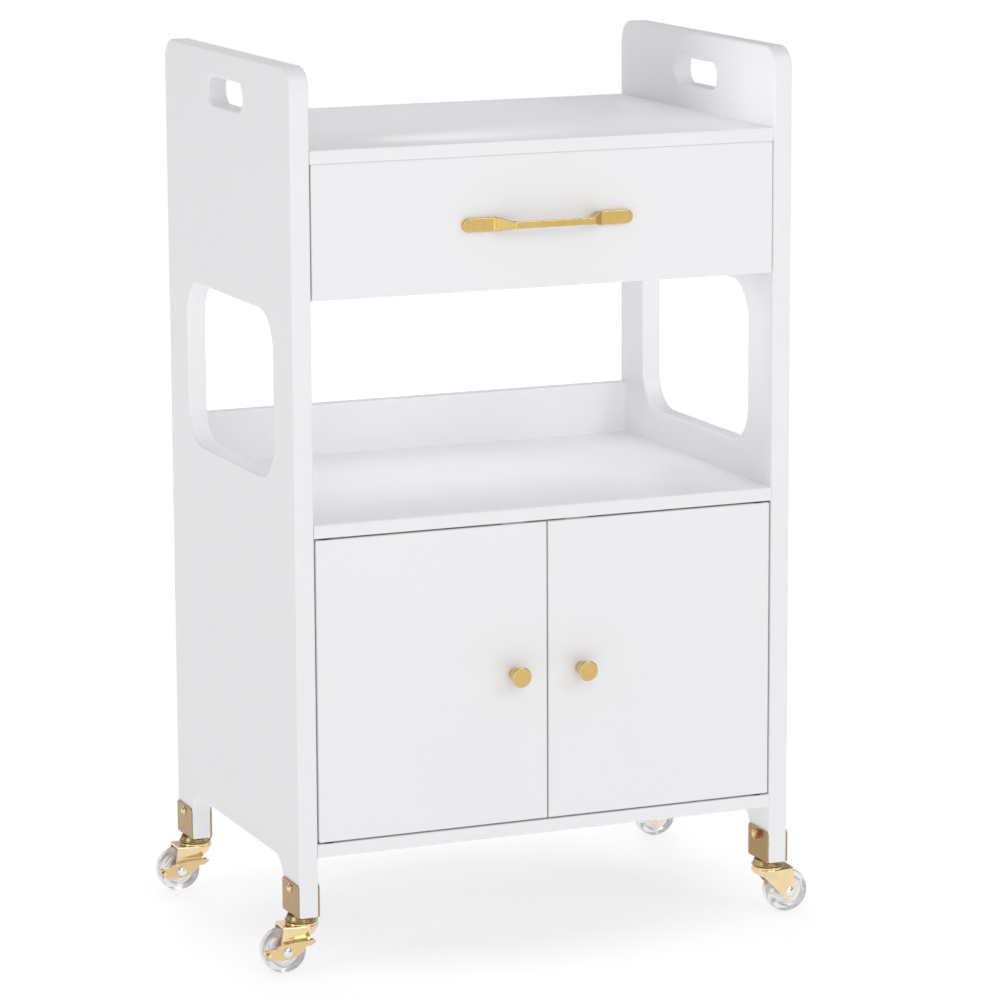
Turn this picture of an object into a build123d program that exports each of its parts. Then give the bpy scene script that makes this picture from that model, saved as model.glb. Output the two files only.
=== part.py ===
from build123d import *
import math
import os

# Salon trolley: two tall side panels on casters carry a top tray board, a drawer, an open bay,
# and a cupboard with two doors. Lengths in millimetres. X runs from the left side panel to the
# right one, Y from the front to the back, Z up. The floor is Z = 0, and the origin is on the
# floor in the middle of the whole width and the whole depth.

# Carcass
body_width = 474.0
panel_thickness = 18.0
panel_depth = 331.0
panel_height = 745.0
panel_top_radius = 20.0
panel_edge_radius = 2.0
board_thickness = 12.0
board_edge_radius = 1.2
top_board_drop = 71.0
upper_back_height = 118.0
bay_height = 195.0
back_rail_height = 48.0
back_rail_thickness = 12.0
board_above_arch = 8.7
cupboard_back_thickness = 5.0
cupboard_back_groove = 4.0
cupboard_back_setback = 8.0

# Cut-outs in the side panels
window_width = 229.0
window_height = 148.0
window_sill_rise = 31.3
window_radius = 35.0
slot_length = 92.0
slot_height = 25.0
slot_drop = 24.2
leg_depth = 41.4
arch_height = 44.3
arch_radius = 22.0

# Knock-down fittings
cam_diameter = 15.0
cam_depth = 9.5
cam_setback = 24.0
cam_slot_width = 2.2
cam_slot_depth = 1.2
bolt_shank_diameter = 6.0
bolt_thread_diameter = 5.0
bolt_thread_length = 11.0
fitting_inset = 46.0
upper_back_fitting_inset = 26.0

# Drawer
drawer_front_thickness = 15.0
drawer_front_height = 116.5
drawer_side_gap = 0.9
drawer_top_gap = 0.9
drawer_side_thickness = 12.0
drawer_side_height = 85.0
drawer_side_rise = 12.0
drawer_rear_room = 19.0
drawer_bottom_thickness = 3.0
drawer_bottom_rise = 8.0
drawer_groove = 5.0

# Telescopic drawer slides, three members each
slide_height = 35.0
slide_thickness = 12.5
slide_sheet = 1.2
slide_play = 0.4
slide_front_setback = 4.0
slide_rear_margin = 31.0
slide_lip = 3.2
middle_lip = 4.4
slide_screw_diameter = 3.5
slide_screw_length = 11.0
slide_screw_head_diameter = 7.0
slide_screw_head_height = 0.8
slide_screw_inset = 30.0

# Drawer handle
handle_length = 160.5
handle_centres = 128.0
handle_pad_height = 12.0
handle_pad_thickness = 4.5
handle_pad_length = 30.0
handle_standoff = 20.0
handle_bar_height = 6.0
handle_bar_depth = 5.0
handle_leg_run = 12.5
handle_leg_width = 6.0
handle_bend_radius = 3.0
handle_edge_radius = 0.6

# Doors
door_thickness = 15.0
door_side_gap = 1.4
door_centre_gap = 1.4
door_end_gap = 1.6
door_edge_radius = 2.0
door_face_edge_radius = 0.8
pivot_from_edge = 10.0
pivot_from_front = 6.0
pivot_pin_diameter = 4.0
pivot_pin_in_door = 14.0
pivot_running_clearance = 0.05
bush_diameter = 7.0
bush_depth = 9.0
bush_flange_diameter = 10.0
bush_flange_thickness = 1.3

# Knobs, their screws and the handle screws
knob_offset = 32.0
knob_length = 17.5
knob_base_diameter = 11.0
knob_head_diameter = 18.3
knob_head_edge = 0.8
pull_screw_diameter = 4.0
pull_screw_head_diameter = 8.0
pull_screw_head_height = 2.0
knob_screw_bite = 8.0
handle_screw_bite = 3.3

# Magnetic door catches
catch_width = 22.0
catch_depth = 15.0
catch_height = 13.0
catch_offset = 30.0
catch_gap = 0.3
strike_thickness = 1.2
strike_width = 16.0
strike_height = 9.0

# Casters
wheel_diameter = 40.0
wheel_width = 16.0
wheel_edge_chamfer = 3.0
wheel_hub_diameter = 13.0
wheel_rim_inner_diameter = 27.0
wheel_recess = 3.0
wheel_side_gap = 1.0
hub_end_play = 0.3
wheel_roof_gap = 1.2
caster_trail = 17.5
axle_diameter = 5.0
axle_running_clearance = 0.05
axle_head_diameter = 8.5
axle_head_height = 2.2
axle_tail_diameter = 8.0
axle_tail_height = 1.5
fork_sheet = 2.0
fork_crown_radius = 15.2
fork_skirt_height = 2.2
fork_flare_height = 9.2
fork_shoulder_radius = 1.6
fork_rear_top = 20.3
fork_rear_foot = 23.0
fork_foot_drop = 6.6
fork_foot_radius = 5.0
fork_foot_front = 4.5
fork_throat = 6.0
fork_throat_drop = 9.2
fork_throat_radius = 8.0
fork_nose_height = 4.0
race_diameter = 29.0
race_height = 1.6
swivel_washer_inner_diameter = 10.0
swivel_washer_outer_diameter = 25.0
swivel_washer_thickness = 0.8
swivel_clearance = 0.1
saucer_diameter = 29.8
saucer_top_diameter = 25.0
saucer_rim = 1.0
saucer_height = 5.1
kingpin_diameter = 8.0
kingpin_clearance = 0.08
kingpin_head_diameter = 13.0
kingpin_head_height = 2.0
kingpin_head_gap = 0.3
kingpin_rivet_diameter = 11.0
kingpin_rivet_height = 1.5
kingpin_recess_diameter = 13.0
kingpin_recess_depth = 2.5

# U-shaped caster straps and their cross bolts
strap_sheet = 1.2
strap_width = 40.0
strap_ear_height = 29.2
strap_corner_radius = 3.0
strap_bend_radius = 1.6
strap_bolt_diameter = 5.0
strap_bolt_drop = 6.0
strap_bolt_head_diameter = 8.0
strap_bolt_head_height = 2.6
strap_nut_flats = 8.0
strap_nut_height = 4.5
strap_bolt_tail = 0.8

# Brake levers of the two left-hand casters
lever_sheet = 1.5
lever_side_play = 0.1
lever_flange_reach = 2.8
lever_flange_sheet = 1.2
lever_corner_radius = 1.0
lever_tail_reach = 21.4
lever_tail_height = 3.8
lever_toe_reach = 26.6
lever_toe_height = 10.6
lever_toe_depth = 4.2
lever_belly = 6.5
lever_back_height = 8.4

# Heights, from the floor up
axle_z = wheel_diameter / 2
roof_underside_z = wheel_diameter + wheel_roof_gap
roof_top_z = roof_underside_z + fork_sheet
race_top_z = roof_top_z + race_height
saucer_bottom_z = race_top_z + swivel_clearance + swivel_washer_thickness
saucer_top_z = saucer_bottom_z + saucer_height
panel_bottom_z = saucer_top_z + strap_sheet
panel_top_z = panel_bottom_z + panel_height
top_board_z = panel_top_z - top_board_drop
top_board_under_z = top_board_z - board_thickness
drawer_front_top_z = top_board_under_z - drawer_top_gap
drawer_front_bottom_z = drawer_front_top_z - drawer_front_height
shelf_top_z = drawer_front_bottom_z - bay_height
shelf_under_z = shelf_top_z - board_thickness
bottom_board_under_z = panel_bottom_z + arch_height + board_above_arch
bottom_board_z = bottom_board_under_z + board_thickness
upper_back_bottom_z = top_board_under_z - upper_back_height
back_rail_top_z = shelf_top_z + back_rail_height
door_bottom_z = bottom_board_z + door_end_gap
door_top_z = shelf_under_z - door_end_gap
door_mid_z = (door_bottom_z + door_top_z) / 2

# Widths and depths
outer_half = body_width / 2
inner_half = outer_half - panel_thickness
front_reach = max(handle_standoff, knob_length)
front_y = -(panel_depth + front_reach) / 2 + front_reach
rear_y = front_y + panel_depth
panel_mid_y = (front_y + rear_y) / 2
upper_back_front_y = rear_y - board_thickness
drawer_back_of_front_y = front_y + drawer_front_thickness
drawer_box_end_y = upper_back_front_y - drawer_rear_room
drawer_half = inner_half - slide_thickness
drawer_side_bottom_z = drawer_front_bottom_z + drawer_side_rise
slide_mid_z = drawer_side_bottom_z + drawer_side_height / 2
slide_start_y = drawer_back_of_front_y + slide_front_setback
slide_end_y = drawer_box_end_y - slide_rear_margin
slide_length = slide_end_y - slide_start_y
leg_x = outer_half - panel_thickness / 2
leg_offset_y = panel_depth / 2 - leg_depth / 2
pivot_x = inner_half - door_side_gap - pivot_from_edge
pivot_y = front_y + pivot_from_front
door_back_y = front_y + door_thickness
fork_half_width = wheel_width / 2 + wheel_side_gap + fork_sheet

# The four corners of the trolley, with the side that each stands on and its Y
CORNERS = {
    "front_left": (-1, panel_mid_y - leg_offset_y),
    "front_right": (1, panel_mid_y - leg_offset_y),
    "rear_left": (-1, panel_mid_y + leg_offset_y),
    "rear_right": (1, panel_mid_y + leg_offset_y),
}
BRAKED = ("front_left", "rear_left")
SIDES = {"left": -1, "right": 1}


def block(x0, x1, y0, y1, z0, z1):
    """A box between two limits on each axis."""
    middle = Pos((x0 + x1) / 2, (y0 + y1) / 2, (z0 + z1) / 2)
    return middle * Box(abs(x1 - x0), abs(y1 - y0), abs(z1 - z0))


def rod(diameter, start, end):
    """A round bar from one point to another."""
    start, end = Vector(*start), Vector(*end)
    along = Plane(origin=start, z_dir=end - start)
    return extrude(along * Circle(diameter / 2), (end - start).length)


def turned(points):
    """A solid of revolution about Z from (radius, height) points, in order round its section."""
    section = Plane.XZ * make_face(Polyline(*points, close=True))
    return revolve(section, Axis.Z)


def dome_head(diameter, height, at, direction):
    """A low domed rivet or screw head that stands on a face at a point."""
    radius = diameter / 2
    rim = height * 0.3
    rise = height - rim
    crown_radius = (radius**2 + rise**2) / (2 * rise)
    half_angle = math.asin(radius / crown_radius) / 2
    crown_x = crown_radius * math.sin(half_angle)
    crown_z = height - crown_radius * (1 - math.cos(half_angle))
    crown = ThreePointArc((radius, rim), (crown_x, crown_z), (0, height))
    sides = Polyline((0, height), (0, 0), (radius, 0), (radius, rim))
    section = Plane.XZ * make_face(crown + sides)
    return Plane(origin=at, z_dir=direction) * revolve(section, Axis.Z)


def mirrored(shape, side):
    """The shape as made for the right side, or its mirror image on the left."""
    return shape if side > 0 else mirror(shape, about=Plane.YZ)


def edges_along(shape, axis, keep=lambda centre: True):
    """Straight edges parallel to an axis whose middle point passes a test."""
    return [e for e in shape.edges().filter_by(axis) if keep(e @ 0.5)]


def save(name, *shapes):
    """Write the solids of one node to a STEP file named after it."""
    solids = [solid for shape in shapes for solid in shape.solids()]
    whole = solids[0] if len(solids) == 1 else Compound(solids)
    export_step(whole, f"parts/{name}.step")


# Cams and bolts. A seat is a point in the middle of a board's thickness, with the direction in
# which its cam is let in. The bolt runs from the cam, out of the board's end, into the panel.

def horizontal_seats(under_z):
    mid_z = under_z + board_thickness / 2
    depths = (front_y + fitting_inset, rear_y - fitting_inset)
    return [(y, mid_z, "below") for y in depths]


def upright_seats(heights, thickness, face):
    return [(rear_y - thickness / 2, z, face) for z in heights]


SEATS = {
    "top_board": horizontal_seats(top_board_under_z),
    "middle_shelf": horizontal_seats(shelf_under_z),
    "bottom_board": horizontal_seats(bottom_board_under_z),
    "upper_back_board": upright_seats(
        (upper_back_bottom_z + upper_back_fitting_inset, top_board_under_z - upper_back_fitting_inset),
        board_thickness,
        "front",
    ),
    "back_rail": upright_seats(
        (shelf_top_z + back_rail_height / 2,), back_rail_thickness, "rear"
    ),
}
CAM_DIRECTION = {"below": (0, 0, 1), "front": (0, 1, 0), "rear": (0, -1, 0)}


def cam(side, y, z, face, thickness):
    """One cam, flush with the face of the board that it is let into, with a driver slot."""
    into = Vector(*CAM_DIRECTION[face])
    mouth = Vector(side * (inner_half - cam_setback), y, z) - into * (thickness / 2)
    body = rod(cam_diameter, mouth, mouth + into * cam_depth)
    slot = Plane(origin=mouth, z_dir=into) * Box(
        cam_diameter * 0.7, cam_slot_width, 2 * cam_slot_depth
    )
    return body, body - slot


def cam_bolt(side, y, z):
    """The bolt of one cam: a shank inside the board and a thread inside the panel."""
    cam_wall_x = side * (inner_half - cam_setback + cam_diameter / 2)
    face_x = side * inner_half
    tip_x = side * (inner_half + bolt_thread_length)
    shank = rod(bolt_shank_diameter, (cam_wall_x, y, z), (face_x, y, z))
    return shank + rod(bolt_thread_diameter, (face_x, y, z), (tip_x, y, z))


def cam_bore(side, y, z):
    """The bore for a bolt's shank, from the board's end into the cam's bore."""
    cam_x = side * (inner_half - cam_setback)
    return rod(bolt_shank_diameter, (cam_x, y, z), (side * inner_half, y, z))


def fitted(board, name, thickness=board_thickness):
    """A board with the bores for its cams and bolts, and the cams and bolts themselves."""
    cams, bolts = [], []
    for y, z, face in SEATS[name]:
        for side in SIDES.values():
            plug, slotted = cam(side, y, z, face, thickness)
            board = board - plug - cam_bore(side, y, z)
            cams.append(slotted)
            bolts.append(cam_bolt(side, y, z))
    return board, cams, bolts


# Carcass boards

def plain_board(under_z, thickness=board_thickness):
    """A full-depth board between the side panels, with its front edges eased."""
    board = block(-inner_half, inner_half, front_y, rear_y, under_z, under_z + thickness)
    front_edges = edges_along(board, Axis.X, lambda p: abs(p.Y - front_y) < 0.01)
    return fillet(front_edges, board_edge_radius)


def upright_board(bottom_z, top_z, thickness):
    """A board on edge between the side panels, flush with their rear edges."""
    board = block(-inner_half, inner_half, rear_y - thickness, rear_y, bottom_z, top_z)
    return board


def cupboard_back():
    """Thin back of the cupboard, let into grooves all round."""
    reach = inner_half + cupboard_back_groove
    back_y = rear_y - cupboard_back_setback
    return block(
        -reach,
        reach,
        back_y - cupboard_back_thickness,
        back_y,
        bottom_board_z - cupboard_back_groove,
        shelf_under_z + cupboard_back_groove,
    )


def pivot_bush(board_face_z, into):
    """A flanged nylon bush in a board's face. It points into the board along Z."""
    x, y = pivot_x, pivot_y
    flange_z = board_face_z - into * bush_flange_thickness
    sleeve = rod(bush_diameter, (x, y, board_face_z), (x, y, board_face_z + into * bush_depth))
    flange = rod(bush_flange_diameter, (x, y, flange_z), (x, y, board_face_z))
    bore_diameter = pivot_pin_diameter + 2 * pivot_running_clearance
    bore = rod(bore_diameter, (x, y, flange_z), (x, y, board_face_z + into * bush_depth))
    return sleeve, sleeve + flange - bore


def side_panel():
    """Right-hand side panel: window, hand slot, leg arch and eased edges."""
    outline = Pos(panel_mid_y, (panel_bottom_z + panel_top_z) / 2) * Rectangle(
        panel_depth, panel_height
    )
    outline = fillet(outline.vertices().sort_by(Axis.Y)[-2:], panel_top_radius)
    arch = Pos(panel_mid_y, panel_bottom_z + arch_height / 2) * Rectangle(
        panel_depth - 2 * leg_depth, arch_height
    )
    arch = fillet(arch.vertices().sort_by(Axis.Y)[-2:], arch_radius)
    window_z = shelf_top_z + window_sill_rise + window_height / 2
    window = Pos(panel_mid_y, window_z) * RectangleRounded(
        window_width, window_height, window_radius
    )
    slot_z = panel_top_z - slot_drop - slot_height / 2
    slot = Pos(panel_mid_y, slot_z) * SlotOverall(slot_length, slot_height)
    inner_face = Plane(origin=(inner_half, 0, 0), x_dir=(0, 1, 0), z_dir=(1, 0, 0))
    panel = extrude(inner_face * (outline - arch - window - slot), panel_thickness)
    rims = [e for e in panel.edges() if e.bounding_box().size.X < 0.01]
    return fillet(rims, panel_edge_radius)


# Casters, made with the kingpin on Z and the wheel trailing towards +X, the brake side at -Y

def fork_section(crown_radius, half_width, z):
    """Plan of the fork at one height: a half-round front that narrows to straight cheeks."""
    rear_x = fork_rear_foot + 2
    front = CenterArc((0, 0), crown_radius, 90, 180)
    cheeks = Polyline(
        (0, -crown_radius),
        (fork_rear_foot, -half_width),
        (rear_x, -half_width),
        (rear_x, half_width),
        (fork_rear_foot, half_width),
        (0, crown_radius),
    )
    return Pos(0, 0, z) * make_face(front + cheeks)


def fork_form(inset, top_z):
    """The pressed form of the fork: a wide crown, a flare, and two flat cheeks."""
    crown_radius = fork_crown_radius - inset
    half_width = fork_half_width - inset
    skirt_z = roof_top_z - fork_skirt_height
    flare_z = skirt_z - fork_flare_height
    wide = fork_section(crown_radius, half_width, skirt_z)
    narrow = fork_section(half_width, half_width, flare_z)
    crown = extrude(wide, top_z - skirt_z, dir=(0, 0, 1))
    flare = loft([narrow, wide], ruled=True)
    cheeks = extrude(narrow, flare_z, dir=(0, 0, -1))
    return crown, flare, cheeks


def fork_side_profile():
    """Side view of the fork: straight rear edge, raked front edge, rounded foot."""
    foot_z = axle_z - fork_foot_drop
    nose_z = roof_top_z - fork_nose_height
    front_x = -fork_crown_radius - 1
    top_z = roof_top_z + 1
    throat = (-fork_throat, roof_top_z - fork_throat_drop)
    corners = [
        (front_x, top_z),
        (fork_rear_top, top_z),
        (fork_rear_foot, axle_z + 3),
        (fork_rear_foot, foot_z),
        (caster_trail - fork_foot_front, foot_z),
        throat,
        (-fork_crown_radius, nose_z),
        (front_x, nose_z),
    ]
    face = make_face(Polyline(*corners, close=True))
    feet = face.vertices().sort_by(Axis.Y)[:2]
    face = fillet(feet, fork_foot_radius)
    bend = face.vertices().sort_by_distance(throat)[:1]
    return fillet(bend, fork_throat_radius)


def fork():
    """Pressed fork with its raised ball race, bored for the kingpin and the axle."""
    crown, flare, cheeks = fork_form(0, roof_top_z)
    shoulder = [e for e in crown.edges() if abs((e @ 0.5).Z - roof_top_z) < 0.01]
    crown = fillet([e for e in shoulder if (e @ 0.5).X < fork_rear_foot + 1], fork_shoulder_radius)
    hollow = fork_form(fork_sheet, roof_underside_z)
    profile = Plane.XZ * fork_side_profile()
    side_view = extrude(profile, fork_crown_radius + 1, both=True)
    body = (crown + flare + cheeks) & side_view
    for piece in hollow:
        body = body - piece
    race = turned(
        [
            (0, roof_top_z - fork_sheet / 2),
            (race_diameter / 2, roof_top_z - fork_sheet / 2),
            (race_diameter / 2, race_top_z - race_height / 3),
            (race_diameter / 2 - race_height / 3, race_top_z),
            (0, race_top_z),
        ]
    )
    body = body + race
    pin_bore = kingpin_diameter + 2 * kingpin_clearance
    body = body - rod(pin_bore, (0, 0, roof_underside_z - 1), (0, 0, race_top_z + 1))
    reach = fork_half_width + 1
    return body - rod(
        axle_diameter, (caster_trail, -reach, axle_z), (caster_trail, reach, axle_z)
    )


def axle(head_gap):
    """Riveted axle: a domed head at the brake side, a flatter one behind, and its shank."""
    head_y = -fork_half_width - head_gap
    tail_y = fork_half_width
    shank = rod(axle_diameter, (caster_trail, head_y, axle_z), (caster_trail, tail_y, axle_z))
    head = dome_head(
        axle_head_diameter, axle_head_height, (caster_trail, head_y, axle_z), (0, -1, 0)
    )
    tail = dome_head(
        axle_tail_diameter, axle_tail_height, (caster_trail, tail_y, axle_z), (0, 1, 0)
    )
    return shank + head + tail


def wheel():
    """Clear wheel: hub, recessed web, and a tread with eased edges."""
    bore = axle_diameter / 2 + axle_running_clearance
    hub, rim, tread = wheel_hub_diameter / 2, wheel_rim_inner_diameter / 2, wheel_diameter / 2
    half, web = wheel_width / 2, wheel_width / 2 - wheel_recess
    hub_half = half + wheel_side_gap - hub_end_play
    upper = [
        (bore, hub_half),
        (hub - 1, hub_half),
        (hub, web),
        (rim, web),
        (rim + 1, half),
        (tread - wheel_edge_chamfer, half),
        (tread - wheel_edge_chamfer * 0.3, half - wheel_edge_chamfer * 0.3),
        (tread, half - wheel_edge_chamfer),
    ]
    lower = [(r, -z) for r, z in reversed(upper)]
    spin = Plane(origin=(caster_trail, 0, axle_z), x_dir=(1, 0, 0), z_dir=(0, -1, 0))
    return spin * turned(upper + lower)


def lever():
    """Stamped brake lever: two-ended plate on the axle with a flange along its upper edge."""
    upper_edge = [
        (lever_tail_reach, lever_tail_height),
        (lever_tail_reach * 0.45, lever_tail_height + 1.8),
        (lever_tail_reach * 0.15, lever_back_height),
        (-lever_toe_reach * 0.3, lever_back_height + 1.1),
        (-lever_toe_reach * 0.72, lever_toe_height - 1.0),
        (-lever_toe_reach * 0.88, lever_toe_height),
    ]
    lower_edge = [
        (-lever_toe_reach, lever_toe_height - 2.2),
        (-lever_toe_reach, lever_toe_depth + 2.8),
        (-lever_toe_reach * 0.83, lever_toe_depth),
        (-lever_toe_reach * 0.66, lever_toe_depth),
        (-lever_toe_reach * 0.53, -lever_belly * 0.08),
        (-lever_toe_reach * 0.3, -lever_belly * 0.7),
        (0, -lever_belly),
        (lever_tail_reach * 0.5, -lever_belly * 0.92),
        (lever_tail_reach * 0.84, -lever_belly * 0.62),
        (lever_tail_reach * 0.99, -lever_belly * 0.05),
    ]
    near_y = -fork_half_width - lever_side_play
    far_y = near_y - lever_sheet
    view = Plane(origin=(caster_trail, near_y, axle_z), x_dir=(1, 0, 0), z_dir=(0, -1, 0))
    face = make_face(Polyline(*upper_edge, *lower_edge, close=True))
    face = fillet(face.vertices(), lever_corner_radius)
    plate = extrude(view * face, lever_sheet)
    underside = [(x, z - lever_flange_sheet) for x, z in reversed(upper_edge)]
    strip = make_face(Polyline(*upper_edge, *underside, close=True))
    flange = extrude(view * strip, lever_sheet + lever_flange_reach)
    bore = axle_diameter + 2 * axle_running_clearance
    hole = rod(bore, (caster_trail, near_y + 1, axle_z), (caster_trail, far_y - 1, axle_z))
    return (plate + flange) - hole


def saucer():
    """Upper race: a pressed saucer that is riveted under the strap."""
    pin = kingpin_diameter / 2
    return turned(
        [
            (pin, saucer_bottom_z),
            (saucer_diameter / 2, saucer_bottom_z),
            (saucer_diameter / 2, saucer_bottom_z + saucer_rim),
            (saucer_top_diameter / 2, saucer_top_z),
            (pin, saucer_top_z),
        ]
    )


def swivel_washer():
    """Thrust washer that fills the gap under the saucer, with running room over the fork."""
    inner, outer = swivel_washer_inner_diameter / 2, swivel_washer_outer_diameter / 2
    low = saucer_bottom_z - swivel_washer_thickness
    return turned([(inner, low), (outer, low), (outer, saucer_bottom_z), (inner, saucer_bottom_z)])


def kingpin():
    """Swivel rivet: head under the fork's roof, shank, and a peened head above the strap."""
    pin, head = kingpin_diameter / 2, kingpin_head_diameter / 2
    peen = kingpin_rivet_diameter / 2
    head_top = roof_underside_z - kingpin_head_gap
    peen_top = panel_bottom_z + kingpin_rivet_height
    return turned(
        [
            (0, head_top - kingpin_head_height),
            (head - 1, head_top - kingpin_head_height),
            (head, head_top - kingpin_head_height + 1),
            (head, head_top),
            (pin, head_top),
            (pin, panel_bottom_z),
            (peen, panel_bottom_z),
            (peen - 1, peen_top),
            (0, peen_top),
        ]
    )


def strap_bolt_z():
    return panel_bottom_z + strap_ear_height - strap_bolt_drop


def strap():
    """U-shaped strap under a leg, with one ear up each side, on the leg's own centre."""
    half = panel_thickness / 2
    top = panel_bottom_z + strap_ear_height
    outer = block(-half - strap_sheet, half + strap_sheet, -1, 1, saucer_top_z, top)
    bends = edges_along(outer, Axis.Y, lambda p: abs(p.Z - saucer_top_z) < 0.01)
    outer = fillet(bends, strap_bend_radius)
    section = outer.faces().sort_by(Axis.Y)[0]
    channel = extrude(Pos(0, 1 - strap_width / 2, 0) * section, strap_width, dir=(0, 1, 0))
    channel = channel - block(-half, half, -strap_width, strap_width, panel_bottom_z, top + 1)
    ear = Pos(0, (saucer_top_z + top) / 2) * RectangleRounded(
        strap_width, top - saucer_top_z, strap_corner_radius
    )
    channel = channel & extrude(Plane.YZ * ear, half + strap_sheet + 1, both=True)
    bolt_z = strap_bolt_z()
    reach = half + strap_sheet + 1
    channel = channel - rod(strap_bolt_diameter, (-reach, 0, bolt_z), (reach, 0, bolt_z))
    return channel - rod(
        kingpin_diameter, (0, 0, saucer_top_z - 1), (0, 0, panel_bottom_z + 1)
    )


def strap_bolt():
    """Cross bolt of a strap on a right-hand leg: head outside, plain shank to the nut inside."""
    outer_x = panel_thickness / 2 + strap_sheet
    tail_x = -outer_x - strap_nut_height - strap_bolt_tail
    z = strap_bolt_z()
    shank = rod(strap_bolt_diameter, (outer_x, 0, z), (tail_x, 0, z))
    return shank + dome_head(
        strap_bolt_head_diameter, strap_bolt_head_height, (outer_x, 0, z), (1, 0, 0)
    )


def strap_nut():
    """Hexagon nut on the inner ear of a strap on a right-hand leg."""
    inner_x = -panel_thickness / 2 - strap_sheet
    z = strap_bolt_z()
    seat = Plane(origin=(inner_x, 0, z), x_dir=(0, 1, 0), z_dir=(-1, 0, 0))
    hexagon = RegularPolygon(strap_nut_flats / 2, 6, major_radius=False)
    return extrude(seat * (hexagon - Circle(strap_bolt_diameter / 2)), strap_nut_height)


def at_corner(shape, side, y):
    """A caster piece made for the right side, moved under its leg and mirrored if need be."""
    return Pos(side * leg_x, y, 0) * mirrored(shape, side)


# Drawer and its slides

def slide_bar(rectangles, side):
    """A slide member from (depth from the panel, height) rectangles of its section, mirrored."""
    bar = None
    for t0, t1, z0, z1 in rectangles:
        for flip in (1, -1):
            x0, x1 = side * (inner_half - t0), side * (inner_half - t1)
            piece = block(
                x0, x1, slide_start_y, slide_end_y, slide_mid_z + flip * z0, slide_mid_z + flip * z1
            )
            bar = piece if bar is None else bar + piece
    return bar.clean()


def slide_members(side):
    """Cabinet, middle and drawer members of one slide, nested and closed."""
    s, play = slide_sheet, slide_play
    half = slide_height / 2
    mouth = slide_thickness - 2 * s - 0.1
    cabinet = [
        (0, s, 0, half),
        (0, mouth, half - s, half),
        (mouth - s, mouth, half - slide_lip, half),
    ]
    mid_half = half - s - play
    mid_back = 2 * s
    mid_front = mouth - s - play
    middle = [
        (mid_back, mid_back + s, 0, mid_half),
        (mid_back, mid_front, mid_half - s, mid_half),
        (mid_front - s, mid_front, mid_half - middle_lip, mid_half),
    ]
    arm = mid_half - middle_lip - play
    hook_front = mid_front - s - play
    drawer = [
        (slide_thickness - s, slide_thickness, 0, arm),
        (hook_front - s, slide_thickness, arm - s, arm),
        (hook_front - s, hook_front, arm - s, mid_half - s - play),
    ]
    return [slide_bar(shape, side) for shape in (cabinet, middle, drawer)]


def slide_screws(side, face_t, direction):
    """Three screws through a slide member into what carries it, on the slide's centre line."""
    screws = []
    x = side * (inner_half - face_t)
    span = slide_length - 2 * slide_screw_inset
    for share in (0, 0.5, 1):
        y = slide_start_y + slide_screw_inset + share * span
        tip = x + direction * slide_screw_length
        shank = rod(slide_screw_diameter, (x, y, slide_mid_z), (tip, y, slide_mid_z))
        head_x = x - direction * slide_screw_head_height
        head = rod(slide_screw_head_diameter, (head_x, y, slide_mid_z), (x, y, slide_mid_z))
        screws.append(shank + head)
    return screws


def drawer_box():
    """The drawer's front, sides, back and bottom, with grooves for the bottom."""
    inner = drawer_half - drawer_side_thickness
    top_z = drawer_side_bottom_z + drawer_side_height
    back_y = drawer_box_end_y - drawer_side_thickness
    bottom_z = drawer_side_bottom_z + drawer_bottom_rise
    bottom = block(
        -inner - drawer_groove,
        inner + drawer_groove,
        drawer_back_of_front_y - drawer_groove,
        back_y + drawer_groove,
        bottom_z,
        bottom_z + drawer_bottom_thickness,
    )
    front_half = inner_half - drawer_side_gap
    front = block(
        -front_half,
        front_half,
        front_y,
        drawer_back_of_front_y,
        drawer_front_bottom_z,
        drawer_front_top_z,
    )
    face_edges = [e for e in front.edges() if abs((e @ 0.5).Y - front_y) < 0.01]
    front = fillet(face_edges, door_face_edge_radius) - bottom
    sides = [
        block(
            side * inner,
            side * drawer_half,
            drawer_back_of_front_y,
            drawer_box_end_y,
            drawer_side_bottom_z,
            top_z,
        )
        - bottom
        for side in SIDES.values()
    ]
    back = block(-inner, inner, back_y, drawer_box_end_y, drawer_side_bottom_z, top_z) - bottom
    return front, sides, back, bottom


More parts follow.
